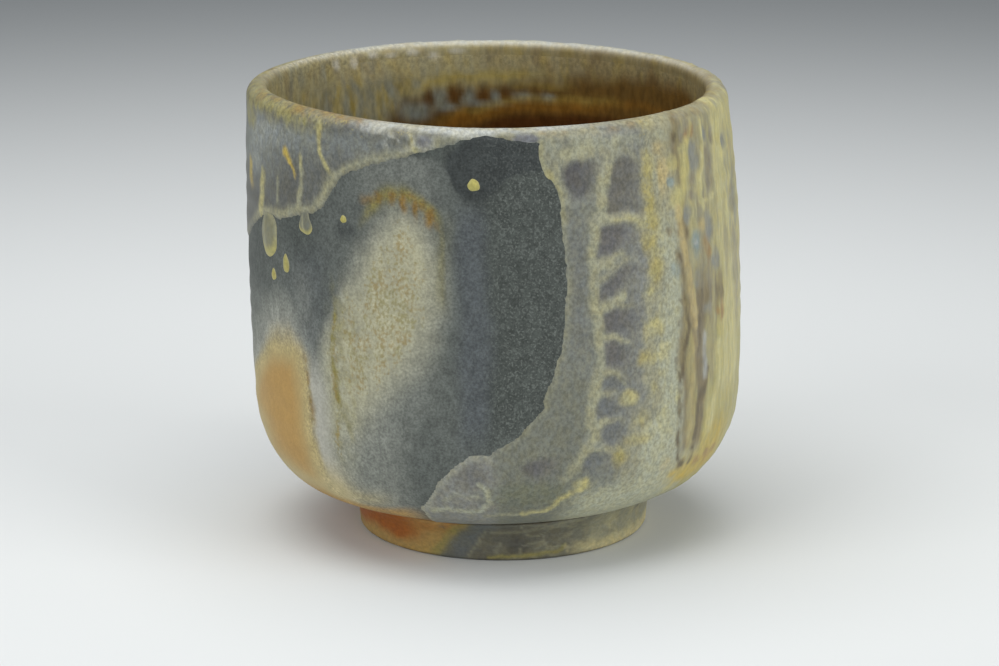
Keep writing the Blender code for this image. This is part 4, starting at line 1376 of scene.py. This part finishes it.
def paint_runs(coat):
    """The runs on the right and round the back: brown, wheat, yellow-green and cream bands, foam low
    down, cells with raised walls high up, and strands and threads of noise drawn out upwards."""
    place, right, rise, runs, thin = coat.place, coat.right, coat.rise, coat.runs, coat.thin
    coat.lay("brown", smooth(46.4, 48.6, right + 0.6 * thin) * smooth(17, 21, rise) * 0.95)
    coat.lay("wheat", smooth(48, 52, right) * smooth(44, 52, rise) * 0.9)
    coat.lay("lichen", smooth(55.5, 58, right + 0.5 * thin) * smooth(46, 38, rise) * 0.95)
    coat.lay("cream", smooth(62, 66.5, right + 0.8 * thin) * smooth(24, 30, rise) * 0.85)
    coat.lay("lichen", smooth(73, 77, right + thin) * smooth(42, 32, rise) * 0.75)
    low = smooth(18.5, 13.5, rise + 0.8 * coat.mottle) * smooth(12, 24, coat.turn)
    low *= smooth(50, 43, coat.turn)
    coat.lay("foam", low * 0.95)

    running = smooth(47, 51, right)
    behind = smooth(76, 92, right)
    upper = smooth(66, 72, right) * smooth(47, 56, rise)
    cells = place.cloud(3.3, 175, 2, 2.6)
    walls = upper * near(cells, 0, 0.15)
    coat.lay("cell", upper * smooth(0.15, 0.5, cells) * 0.7)
    coat.lay("mauve", upper * smooth(0.25, 0.6, -cells) * 0.6)
    coat.lay("cream", walls * 0.5)
    coat.lay("mauve", running * smooth(0.15, 0.8, -runs) * 0.46)
    coat.lay("straw", running * smooth(0.15, 0.65, runs) * 0.46)
    coat.lay("cream", running * smooth(0.35, 0.7, thin) * 0.35)
    ragged = near(right + 0.7 * thin, 46.7, 0.7) * smooth(60, 55, rise) * smooth(15, 20, rise)
    coat.lay("umber", ragged * smooth(-0.15, 0.4, coat.grit) * 0.7)
    coat.lay("brown", behind * smooth(0, 0.8, place.cloud(6, 183, 3, 4)) * 0.6)
    coat.lay("cell", behind * smooth(0.1, 0.8, place.cloud(4.5, 185, 3, 5)) * 0.6)
    threads = behind * near(place.cloud(6.5, 187, 3, 4), 0, 0.12)
    coat.lay("cream", threads * 0.5)
    coat.relief += 0.12 * running * np.clip(runs, -0.7, 0.9) + 0.06 * threads + 0.12 * walls


def paint_marks(coat):
    """The spots, as soft ovals, some of them sunken; the pools, sunken, with a pale shore at their
    upper left and a blur at their lower right; and the lines, broken by noise, some of them raised."""
    cup, fine, grit = coat.cup, coat.fine, coat.grit
    speckled = uneven(0.92, 0.4, grit)
    for name, a, b, half_turn, half_rise, strength in SPOTS:
        softness = 0.85 if name in MISTY else 0.45
        spot = blot(fine, (a, b), (half_turn, half_rise), softness) * strength
        coat.lay(name, spot * speckled)
        coat.specks += 0.45 * spot * (name == "ochre")
        coat.relief -= 0.1 * spot * (name in SUNKEN)
    for name, outline in POOLS:
        deepest = name == "pool"
        depth = outline_depth(cup, fine, outline)
        middle = np.mean(outline, axis=0)
        aside = (fine.turn - middle[0]) * cup.degree * 0.5 - (fine.rise - middle[1]) * 0.35
        blur = 0.55 + (0.3 if deepest else 1.2) * smooth(-0.8, 2, aside)
        pool = smooth(-blur, blur + 0.25, depth)
        shore = near(depth, -0.75, 0.55) * smooth(1.6, -0.6, aside) * smooth(20, 28, coat.rise)
        coat.lay("vein", shore * 0.45)
        # Each pool is darkest at its upper left and paler towards its lower right: the pooled glaze, with
        # painted shade under its upper rim
        fade = 1 - (0.2 if deepest else 0.55) * smooth(-0.8, 2.3, aside)
        mottled = uneven(0.97, 0.2, coat.mottle)
        coat.lay(name, pool * fade * mottled)
        coat.relief -= 0.11 * pool
    for name, half_width, strength, raised, line in STROKES:
        away = line_distance(fine.turn, fine.rise, line, cup.degree)
        mark = smooth(half_width * 1.6, half_width * 0.35, away)
        broken = 0.8 + 0.7 * grit if name in BROKEN else 0.92 + 0.4 * grit
        coat.lay(name, mark * strength * np.clip(broken, 0, 1))
        coat.relief += raised * mark


def paint_lip(coat, liner):
    """The lip: straw on the left, pale ash in front, partly a painted highlight, with glassy patches under
    it, brown and wheat elsewhere, a painted highlight along its top at the back, and the liner's runs
    inside. It has fewer specks than the wall."""
    place, fine, turn, rise, grit = coat.place, coat.fine, coat.turn, coat.rise, coat.grit
    straw_lip = coat.left * smooth(72.8, 75.2, rise + 0.5 * grit) * smooth(-36, -48, turn)
    coat.lay("rim_straw", straw_lip * uneven(0.7, 0.5, grit))
    coat.lay("umber", straw_lip * smooth(0.1, 0.7, -grit) * 0.35)
    lens = blot(fine, (8.9, 74.85), (3.3, 0.68), 0.22)
    glassy = blot(fine, (-14.2, 74.2), (1.8, 0.95), 0.35)
    coat.lay("rim", blot(fine, (-14.2, 74.2), (2.7, 1.5), 0.3) * smooth(-0.4, 0.3, grit) * 0.6)
    coat.lay("rim", blot(fine, (-21, 74), (4.5, 1.4), 0.9) * smooth(0.15, 0.5, grit) * 0.75)
    # Pale ash on the front of the lip, partly a painted highlight where the lip rounds over
    pale_rim_and_highlight = smooth(74.9, 76, rise) * smooth(-40, -22, turn) * smooth(40, 18, turn) * (1 - lens)
    coat.lay("rim", pale_rim_and_highlight * 0.95)
    lip = smooth(74.4, 76, place.rise) * (1 - pale_rim_and_highlight) * (1 - lens)
    wheaten = lip * smooth(-0.5, 0.5, place.cloud(2.6, 191)) * (1 - 0.6 * straw_lip)
    coat.lay("wheat", wheaten * 0.7)
    coat.lay("rim_brown", lip * smooth(0.2, 0.8, place.cloud(1.8, 193)) * 0.45)
    coat.lay("lens", lens + 0.9 * glassy)
    over = smooth(76, 77, place.rise + 0.3 * coat.mottle)
    inside, _ = lip_runs(place.by_height(), liner)
    coat.blend(inside.colour, over)
    # A painted highlight along the top of the lip at the back
    back_rim_highlight = near(place.rise, 76.3, 0.9) * smooth(115, 150, np.abs(turn))
    coat.lay("rim", back_rim_highlight * uneven(0.8, 0.4, grit))
    brown_edge = near(place.rise, 76.4, 0.7) * smooth(-22, -30, turn) * smooth(-62, -46, turn)
    coat.lay("rim_brown", brown_edge * uneven(0.55, 0.6, grit))
    kept = coat.specks * (1 - 0.8 * pale_rim_and_highlight) * (1 - 0.7 * over)
    coat.specks = kept + 0.2 * lip * (1 - over)


def liner_layout(place, colours):
    """Paints the inside: tan runs under the lip, a brown band on the right with a honey edge, iron
    spots and milky patches at the back over an amber band, and dark glaze down to the floor.
    Returns the colour and the runs."""
    soft = place.wandered(2.5, 0.5, 5, 231)
    fine = place.wandered(0.8, 0.35, 2, 241)
    turn, rise = np.mod(soft.turn, 360), soft.rise
    lining, runs = lip_runs(place, colours)
    thin = place.cloud(1.5, 259, 3, 2.5)
    grey_left = between(turn, 202, 236, 8) * between(rise, 60, 71, 1.5)
    lining.lay("milky", grey_left * smooth(-0.2, 0.5, thin) * 0.6)
    lining.lay("honey", grey_left * smooth(0.1, 0.6, -thin) * 0.55)
    shore = line_at(turn, BROWN_SHORE)
    veil = smooth(75.4, 71.5, rise) * smooth(165, 135, turn) * smooth(60, 90, turn)
    lining.lay("brown", veil * 0.15)
    honey_edge = near(rise + 0.5 * runs, shore + 0.5, 0.9) * between(turn, 166, 204, 10)
    lining.lay("honey", honey_edge * 0.7)
    deeper = 3.2 + 5 * smooth(200, 225, turn)
    under = smooth(shore + 0.6, shore - deeper, rise + 0.5 * runs)
    lining.lay("brown", under)
    slanting = under * between(turn, 110, 168, 10) * near(rise, 66.4 - 0.03 * (turn - 140), 0.9)
    lining.lay("amber", slanting * 0.5)
    lining.lay("honey", under * between(turn, 158, 196, 6) * near(rise, 68.8, 0.7) * 0.4)
    lining.lay_spots("milky", fine, MILKY_PATCHES, 0.8)
    lining.lay_spots("dark", fine, IRON_SPOTS, 0.9)
    second = line_at(turn, AMBER_SHORE)
    lining.lay("honey", under * near(rise, second + 0.8, 0.8) * between(turn, 145, 192, 8) * 0.55)
    lining.lay("amber", under * near(rise, second - 0.4, 1.2) * between(turn, 146, 198, 8) * 0.8)
    deep = smooth(second - 0.8, second - 2.6, rise) * smooth(194, 180, turn) * smooth(100, 130, turn)
    lining.lay("dark", deep)
    lining.lay("amber", near(turn, 190, 5) * near(rise, 62.2, 1.5) * 0.9)
    lining.lay("dark", smooth(63, 55, rise) * (0.75 + 0.2 * runs))
    lining.lay("honey", smooth(24, 14, rise) * (0.35 + 0.3 * place.cloud(8, 261)))
    return lining.colour, runs


def foot_layout(place, colours):
    """Paints the foot: orange-red flashing on the left with a tawny edge, a slanting slate run, and
    an olive coat on the right that turns grey-green, with pale lines and a straw lower edge."""
    soft = place.wandered(2, 0.35, 4, 331)
    fine = place.wandered(1.2, 0.25, 1.8, 335)
    rise = soft.rise
    turn = soft.turn + 1.9 * (4 - rise)
    foot = Canvas(place, colours, "olive")
    greener = smooth(14, 44, soft.turn + 5 * place.cloud(4, 333))
    foot.lay("sage", greener * smooth(178, 165, turn))
    right = smooth(-21, -17, turn) * smooth(178, 165, turn)
    flash = Canvas(place, colours, "flash")
    flash.lay("tawny", smooth(3.6, 1.2, rise + 0.5 * place.cloud(3, 337)) * 0.9)
    flash.lay("tawny", near(soft.turn, -27, 9) * 0.9)
    flash.lay("amber", blot(soft, (-30, 5.8), (6, 1.2), 0.8) * 0.9)
    flash.lay("shade", blot(fine, (-22.5, 6.1), (1, 0.5), 0.7) * 0.6)
    foot.blend(flash.colour, 1 - right)
    foot.lay("slate", near(turn, -13, 5) * 0.95)
    foot.lay("lichen", near(turn, -20, 2.4) * uneven(0.75, 0.4, place.cloud(1.6, 339)))
    marbled = right * smooth(-0.1, 0.5, place.cloud(3, 345, 3))
    foot.lay("shade", marbled * smooth(44, 16, turn) * smooth(-8, 0, turn) * 0.85)
    foot.lay("shade", right * blot(soft, (5, 4.4), (7, 1.4), 0.8) * 0.5)
    patches = right * smooth(0.15, 0.7, place.cloud(4, 349, 2, 0.6))
    foot.lay("shade", patches * smooth(20, 34, turn) * 0.6)
    pale = near(place.cloud(3.6, 341, 2, 0.6), 0.1, 0.14)
    foot.lay("sage", right * pale * smooth(-8, 2, turn) * 0.75)
    lower = right * smooth(3.2, 1, rise + 0.6 * place.cloud(2, 343))
    foot.lay("straw", lower * smooth(24, 36, soft.turn) * 0.9)
    runs = right * smooth(0.2, 0.7, place.cloud(1.8, 347, 2, 2))
    foot.lay("straw", runs * smooth(30, 50, soft.turn) * 0.35)
    length_of_degree = math.radians(place.rows[0, 0])
    for name, half_width, strength, line in FOOT_LINES:
        mark = near(line_distance(fine.turn, fine.rise, line, length_of_degree), 0, half_width)
        foot.lay(name, mark * strength)
    # Painted shadow along the edge the foot stands on
    foot.lay("shade", smooth(0.55, 0.1, rise) * 0.5)
    return foot.colour


# Pieces

def build_clay_body(settings):
    """The clay: the inside under the liner, the outside under and beside the ash coat, and the seat
    over the foot, as one surface closed at both poles."""
    cup = cup_sizes(settings.shape)
    turn = outside_turns()
    rows, rise = outside_rows(cup)
    place = Place(turn, rise, rows)
    colour, crystals, iron, calm = clay_layout(cup, place, settings.clay)
    sunken = smooth(0.4, 1.6, window_distance(cup, place))
    lift = hand_relief(cup, place) - cup.bare_depth - CLAY_SINK * sunken

    inside = inside_rows(cup, cup.glaze + cup.gap, *BACKING_ROWS)[:-1]
    seat = np.array([(cup.seat_radius / 2.0, cup.seat_z), (0.0, cup.seat_z)])
    flat = np.zeros((1, len(turn)))
    inner = turned_points(cup, inside, turn, flat)
    outer = turned_points(cup, rows, turn, lift)[TUCKED:]
    lower = turned_points(cup, seat, turn, flat)
    points, polygons = closed_at_poles(np.concatenate((inner, outer, lower)))

    def spread(values):
        grid = values[TUCKED:]
        first = np.repeat(grid[:1], len(inside), 0)
        last = np.repeat(grid[-1:], len(seat), 0)
        whole = np.concatenate((first, grid, last))
        return whole.reshape(-1, *whole.shape[2:])

    painting = {"layout": colour, "crystals": crystals, "iron": iron, "calm": calm}
    attributes = {name: spread(values) for name, values in painting.items()}
    mesh = mesh_of("clay_body", points, polygons, clay_material(settings.clay), attributes)
    put("clay_body", mesh, "stoneware", "cup_body")


def build_ash_coat(settings):
    """The ash coat: a skin over the lip and the wall. Past the edge of the bare window, and at both
    of its ends, it dips under the neighbouring surface, so that its edge is a real one."""
    cup = cup_sizes(settings.shape)
    turn = outside_turns()
    rows, rise = outside_rows(cup)
    place = Place(turn, rise, rows)
    edge = window_distance(cup, place)
    colour, specks, calm, relief = ash_layout(cup, place, edge, settings)

    lower_end = place.rise - place.rise.min() - END_MARGIN + 0.2 * place.cloud(3, 403)
    window = np.minimum(edge, lower_end)
    cover = np.sqrt(np.clip(window / EDGE_WIDTH, 0.0, 1.0))
    roll = EDGE_ROLL * near(window, 0.8, 0.5)
    thickness = cup.bare_depth + COAT_PROUD + relief + roll
    lift = hand_relief(cup, place) - cup.bare_depth + thickness * cover
    lift += np.clip(window, -EDGE_DIP, 0.0) * DIP_SLOPE
    meet = rise[1]
    lift *= smooth(meet, meet - MEET_FADE, place.rise)
    lift -= cup.meet_slope * np.maximum(place.rise - meet, 0.0)

    points = turned_points(cup, rows, turn, lift)
    block_rows = (len(rows) - 1) // BLOCK
    blocks = window[:-1].reshape(block_rows, BLOCK, len(turn) // BLOCK, BLOCK).max((1, 3))
    behind = np.full((1, 1), -cup.glaze - COAT_BACKING)
    under = turned_points(cup, rows[::BLOCK], turn[::BLOCK], behind)
    points, polygons = shell_over(points, under, blocks > -KEEP_PAST)

    def spread(values):
        coarse = values[::BLOCK, ::BLOCK]
        grids = (values.reshape(-1, *values.shape[2:]), coarse.reshape(-1, *coarse.shape[2:]))
        return np.concatenate(grids)

    attributes = {"layout": spread(colour), "specks": spread(specks), "calm": spread(calm)}
    mesh = mesh_of("ash_coat", points, polygons, ash_material(settings.ash), attributes)
    put("ash_coat", mesh, "ash_glaze", "ash_glaze_coat")


def build_liner(settings):
    """The liner: from the floor's middle up the inside to the lip, and back down behind itself to
    the floor, closed at both poles. Its runs stand up a little from the wall."""
    cup = cup_sizes(settings.shape)
    turn = np.linspace(-180, 180, LINER_COLUMNS, False)
    front = inside_rows(cup, 0.0, *LINER_ROWS)
    back = inside_rows(cup, cup.glaze, *BACKING_ROWS)[:-1][::-1]
    place = Place(turn, front[:, 1], front)
    colour, runs = liner_layout(place, settings.liner)
    wall = smooth(cup.floor_z + 4.0, cup.floor_z + 18.0, place.rise)
    wall *= smooth(cup.meet_z, cup.meet_z - 3.0, place.rise)
    lift = wall * (RUN_HEIGHT * runs + LINER_SWELL * place.cloud(14, 411))
    lift -= cup.meet_slope * np.maximum(place.rise - cup.meet_z, 0.0)
    flat = np.zeros((1, len(turn)))
    points = np.concatenate((turned_points(cup, front, turn, lift), turned_points(cup, back, turn, flat)))
    points, polygons = closed_at_poles(points)

    def spread(values):
        whole = np.concatenate((values, np.repeat(values[-1:], len(back), 0)))
        return whole.reshape(-1, *whole.shape[2:])

    gloss = smooth(cup.meet_z - 1.0, cup.meet_z - 5.0, place.rise + 0.4 * runs)
    attributes = {"layout": spread(colour), "gloss": spread(gloss)}
    mesh = mesh_of("liner", points, polygons, liner_material(), attributes)
    put("liner", mesh, "liner_glaze", "liner_glaze")


def build_foot(settings):
    """The foot: a tapered ring with rounded standing edges, closed on itself, whose outside keeps
    the ripple of the turning tool and flares where it meets the cup."""
    cup = cup_sizes(settings.shape)
    turn = np.linspace(-180, 180, FOOT_COLUMNS, False)
    bore = cup.foot_radius - cup.foot_width
    base = cup.foot_radius - cup.foot_taper
    radii = (cup.foot_edge, cup.foot_edge)
    side = np.linspace((cup.foot_radius, cup.seat_z), (base, cup.foot_edge), FOOT_SIDE_ROWS)[:-1]
    outer = arc_rows((base - cup.foot_edge, cup.foot_edge), radii, 0, -90, FOOT_EDGE_ROWS)
    inner = arc_rows((bore + cup.foot_edge, cup.foot_edge), radii, 270, 180, FOOT_EDGE_ROWS)
    hole = np.linspace((bore, cup.foot_edge), (bore, cup.seat_z), FOOT_BORE_ROWS)[1:]
    rows = np.concatenate((side, outer, inner, hole))
    place = Place(turn, rows[:, 1], rows)
    colour = foot_layout(place, settings.foot)
    standing = smooth(0.0, 0.9, place.rise)
    outward = (np.arange(len(rows)) < len(side))[:, None]
    flare = FLARE * smooth(cup.seat_z - FLARE_RISE, cup.seat_z, place.rise) ** 2 * outward
    ripple = TOOL_RIPPLE * np.sin(place.rise * 5.2 + place.cloud(9, 421))
    ripple = ripple + FOOT_SWELL * place.cloud(6, 423) + FOOT_GRAIN * place.cloud(1.4, 425)
    points = turned_points(cup, rows, turn, ripple * standing + flare, cup.foot_shift)
    quads = grid_quads(len(rows), len(turn)).reshape(-1, 4)
    j = np.arange(len(turn))
    k = (j + 1) % len(turn)
    last = (len(rows) - 1) * len(turn)
    closing = np.column_stack((last + j, j, k, last + k))
    attributes = {"layout": colour.reshape(-1, 3)}
    mesh = mesh_of("foot", points.reshape(-1, 3), [quads, closing], foot_material(), attributes)
    put("foot", mesh, "foot_stoneware", "foot_ring")


def drop_points(cup, drop, share, angle):
    """One drop on the wall: a low dome over a polar grid, narrower at its top as a run is, with a
    wavy outline, and last a point under the clay."""
    turn, middle, half_width, half_height, height, _, narrow = drop
    wobble = 1.0 + 0.05 * np.sin(3.0 * angle + turn) + 0.03 * np.sin(5.0 * angle + middle)
    narrowing = 1.0 - narrow * np.sin(angle) * share
    across = turn + half_width / cup.degree * share * np.cos(angle) * wobble * narrowing
    up = middle + half_height * share * np.sin(angle) * wobble
    dome = (height + DROP_SINK) * np.clip(1.0 - share**2, 0.0, 1.0) ** 0.6
    heights = np.linspace(cup.corner_high_z, cup.lip_z, 60)
    out = np.interp(up, heights, wall_radius(cup, heights)) + dome - DROP_SINK - cup.bare_depth
    points = settle(cup, out * np.sin(np.radians(across)), -out * np.cos(np.radians(across)), up)
    deep = wall_radius(cup, middle) - DROP_ROOT
    aim = np.radians(turn)
    root = settle(cup, deep * np.sin(aim), -deep * np.cos(aim), np.float64(middle))
    return np.concatenate((points.reshape(-1, 3), root[None, :]))


def drop_colours(ash, straw, share, angle):
    """Paints one drop: glassy or yellow by its straw share, with a shine, a yellow lower edge and a
    pale rim."""
    aside, above = share * np.cos(angle), share * np.sin(angle)
    rings = np.broadcast_to(share, above.shape)
    drop = Canvas(SimpleNamespace(turn=aside), ash, "moss")
    drop.lay("drop", np.full(aside.shape, straw))
    # A painted highlight streak on the glassy drops
    shine = near(aside + 0.28 + 0.15 * above, 0, 0.15)
    drop.lay("vein", shine * smooth(0.9, 0.2, above) * (1 - straw) * 0.7)
    drop.lay("drop", smooth(-0.35, -0.85, above) * 0.75)
    drop.lay("vein", near(rings, 0.9, 0.13) * (0.75 - 0.25 * np.sin(angle)))
    drop.lay("drop", smooth(0.2, -0.7, above) * smooth(0.5, 0.85, rings) * 0.7)
    return np.concatenate((drop.colour.reshape(-1, 3), np.array(ash.moss)[None, :]))


def drop_polygons():
    """Polygons of one drop: its polar grid, a fan at its crown, and one to the point under it."""
    quads = grid_quads(DROP_RINGS, DROP_SPOKES)[1:].reshape(-1, 4)
    j = np.arange(DROP_SPOKES)
    k = (j + 1) % DROP_SPOKES
    rim = (DROP_RINGS - 1) * DROP_SPOKES
    bottom = np.column_stack((rim + k, rim + j, np.full(DROP_SPOKES, DROP_RINGS * DROP_SPOKES)))
    return quads, crown_fan(DROP_SPOKES), bottom


def build_drops(settings):
    """Drops of ash on the clay, each closed by a point under it. The greyer ones are glassy, with a
    pale rim and a yellow lower edge, and the yellow ones have a pale rim."""
    cup = cup_sizes(settings.shape)
    share = np.linspace(0.0, 1.0, DROP_RINGS)[:, None]
    angle = np.linspace(0.0, 2.0 * math.pi, DROP_SPOKES, False)[None, :]
    points = [drop_points(cup, drop, share, angle) for drop in DROPS]
    colours = [drop_colours(settings.ash, straw, share, angle) for *_, straw, _ in DROPS]
    starts = np.arange(len(DROPS)) * (DROP_RINGS * DROP_SPOKES + 1)
    polygons = [part + start for start in starts for part in drop_polygons()]
    points, colours = np.concatenate(points), np.concatenate(colours)
    specks, calm = np.full(len(points), 0.1), np.full(len(points), 0.5)
    attributes = {"layout": colours, "specks": specks, "calm": calm}
    mesh = mesh_of("ash_drops", points, polygons, bpy.data.materials["ash_coat"], attributes)
    put("ash_drops", mesh, "ash_glaze")


def soft_lamp(name, place, aim, size, watts):
    """A square soft lamp pointed at a place."""
    lamp = bpy.data.lights.new(name, "AREA")
    lamp.shape, lamp.size, lamp.energy = "SQUARE", size, watts
    obj = bpy.data.objects.new(name, lamp)
    obj.location = place
    obj.rotation_euler = (Vector(aim) - Vector(place)).to_track_quat("-Z", "Y").to_euler()
    bpy.context.scene.collection.objects.link(obj)


def build_floor(stage):
    """A plain pale floor, a disc of rings that grow outwards, which greys far from the cup."""
    radii = np.geomspace(FLOOR_INNER, FLOOR_OUTER, FLOOR_RINGS)
    rings = np.concatenate(([0.0], radii))
    turn = np.linspace(-180, 180, FLOOR_COLUMNS, False)
    x = rings[:, None] * np.sin(np.radians(turn))[None, :]
    y = -rings[:, None] * np.cos(np.radians(turn))[None, :]
    points = np.stack((x, y, np.zeros_like(x)), axis=-1)
    quads = grid_quads(len(rings), len(turn))[1:].reshape(-1, 4)
    material, tree, shader = new_material("pale_floor", 0.9, 0.1)
    where = node(tree, "TexCoord").outputs["Object"]
    away = node(tree, "VectorMath", {0: where}, operation="LENGTH").outputs["Value"]
    far = ranged(tree, away, *FLOOR_FADE)
    colour = mixed(tree, far, tuple(stage.floor_near), tuple(stage.floor_far))
    tree.links.new(colour, shader.inputs["Base Color"])
    mesh = mesh_of("floor", points.reshape(-1, 3), [quads, crown_fan(len(turn))], material, {})
    floor = bpy.data.objects.new("floor", mesh)
    bpy.context.scene.collection.objects.link(floor)


def build_camera(stage):
    """The camera, level across, pointed at the cup."""
    lens = bpy.data.cameras.new("camera")
    lens.lens = stage.lens
    lens.sensor_width = SENSOR_WIDTH
    lens.sensor_fit = "HORIZONTAL"
    lens.clip_start = CLIP_START
    camera = bpy.data.objects.new("camera", lens)
    camera.location = (stage.aim_side, -stage.camera_back, stage.camera_height)
    aim = Vector((stage.aim_side, 0.0, stage.aim_height))
    camera.rotation_euler = (aim - camera.location).to_track_quat("-Z", "Y").to_euler()
    bpy.context.scene.collection.objects.link(camera)
    bpy.context.scene.camera = camera


def build_stage(stage):
    """A plain pale floor, soft lamps in a pale room, and the camera."""
    build_floor(stage)
    for lamp in LAMPS:
        soft_lamp(*lamp)
    world = bpy.data.worlds.new("studio")
    world.use_nodes = True
    background = world.node_tree.nodes["Background"]
    background.inputs["Color"].default_value = ROOM_COLOUR
    background.inputs["Strength"].default_value = ROOM_STRENGTH
    bpy.context.scene.world = world
    build_camera(stage)
    bpy.context.scene.view_settings.view_transform = "Standard"


# Operators and panel

class WHISKYCUP_OT_clay_body(bpy.types.Operator):
    """Build the thrown clay with its window of bare surface"""

    bl_idname = "whisky_cup.clay_body"
    bl_label = "Clay body"

    def execute(self, context):
        build_clay_body(context.scene.whisky_cup)
        return {"FINISHED"}


class WHISKYCUP_OT_foot(bpy.types.Operator):
    """Build the turned foot ring"""

    bl_idname = "whisky_cup.foot"
    bl_label = "Foot"

    def execute(self, context):
        build_foot(context.scene.whisky_cup)
        return {"FINISHED"}


class WHISKYCUP_OT_liner(bpy.types.Operator):
    """Build the glossy liner inside the cup"""

    bl_idname = "whisky_cup.liner"
    bl_label = "Liner"

    def execute(self, context):
        build_liner(context.scene.whisky_cup)
        return {"FINISHED"}


class WHISKYCUP_OT_ash_coat(bpy.types.Operator):
    """Build the ash coat over the lip and the wall"""

    bl_idname = "whisky_cup.ash_coat"
    bl_label = "Ash coat"

    def execute(self, context):
        build_ash_coat(context.scene.whisky_cup)
        return {"FINISHED"}


class WHISKYCUP_OT_drops(bpy.types.Operator):
    """Build the drops of ash on the bare clay"""

    bl_idname = "whisky_cup.drops"
    bl_label = "Ash drops"

    def execute(self, context):
        build_drops(context.scene.whisky_cup)
        return {"FINISHED"}


class WHISKYCUP_OT_stage(bpy.types.Operator):
    """Build the floor, the lamps and the camera"""

    bl_idname = "whisky_cup.stage"
    bl_label = "Stage"

    def execute(self, context):
        build_stage(context.scene.whisky_cup.stage)
        return {"FINISHED"}


OPERATORS = (
    WHISKYCUP_OT_clay_body,
    WHISKYCUP_OT_foot,
    WHISKYCUP_OT_liner,
    WHISKYCUP_OT_ash_coat,
    WHISKYCUP_OT_drops,
    WHISKYCUP_OT_stage,
)


class WHISKYCUP_PT_panel(bpy.types.Panel):
    """Lists the pieces of the cup"""

    bl_idname = "WHISKYCUP_PT_panel"
    bl_label = "Whisky cup"
    bl_space_type = "VIEW_3D"
    bl_region_type = "UI"
    bl_category = "Whisky cup"

    def draw(self, context):
        for operator in OPERATORS:
            self.layout.operator(operator.bl_idname)


CLASSES = (
    WHISKYCUP_PG_shape,
    WHISKYCUP_PG_clay,
    WHISKYCUP_PG_ash,
    WHISKYCUP_PG_liner,
    WHISKYCUP_PG_foot,
    WHISKYCUP_PG_stage,
    WHISKYCUP_PG_settings,
    *OPERATORS,
    WHISKYCUP_PT_panel,
)


def register():
    """Registers the classes, and the settings on the scene."""
    for cls in CLASSES:
        bpy.utils.register_class(cls)
    bpy.types.Scene.whisky_cup = PointerProperty(type=WHISKYCUP_PG_settings)


def unregister():
    """Takes the settings and the classes away again."""
    del bpy.types.Scene.whisky_cup
    for cls in reversed(CLASSES):
        bpy.utils.unregister_class(cls)


def main():
    """Builds the cup and its stage."""
    register()
    bpy.ops.whisky_cup.clay_body()
    bpy.ops.whisky_cup.foot()
    bpy.ops.whisky_cup.liner()
    bpy.ops.whisky_cup.ash_coat()
    bpy.ops.whisky_cup.drops()
    bpy.ops.whisky_cup.stage()


if __name__ == "__main__":
    main()
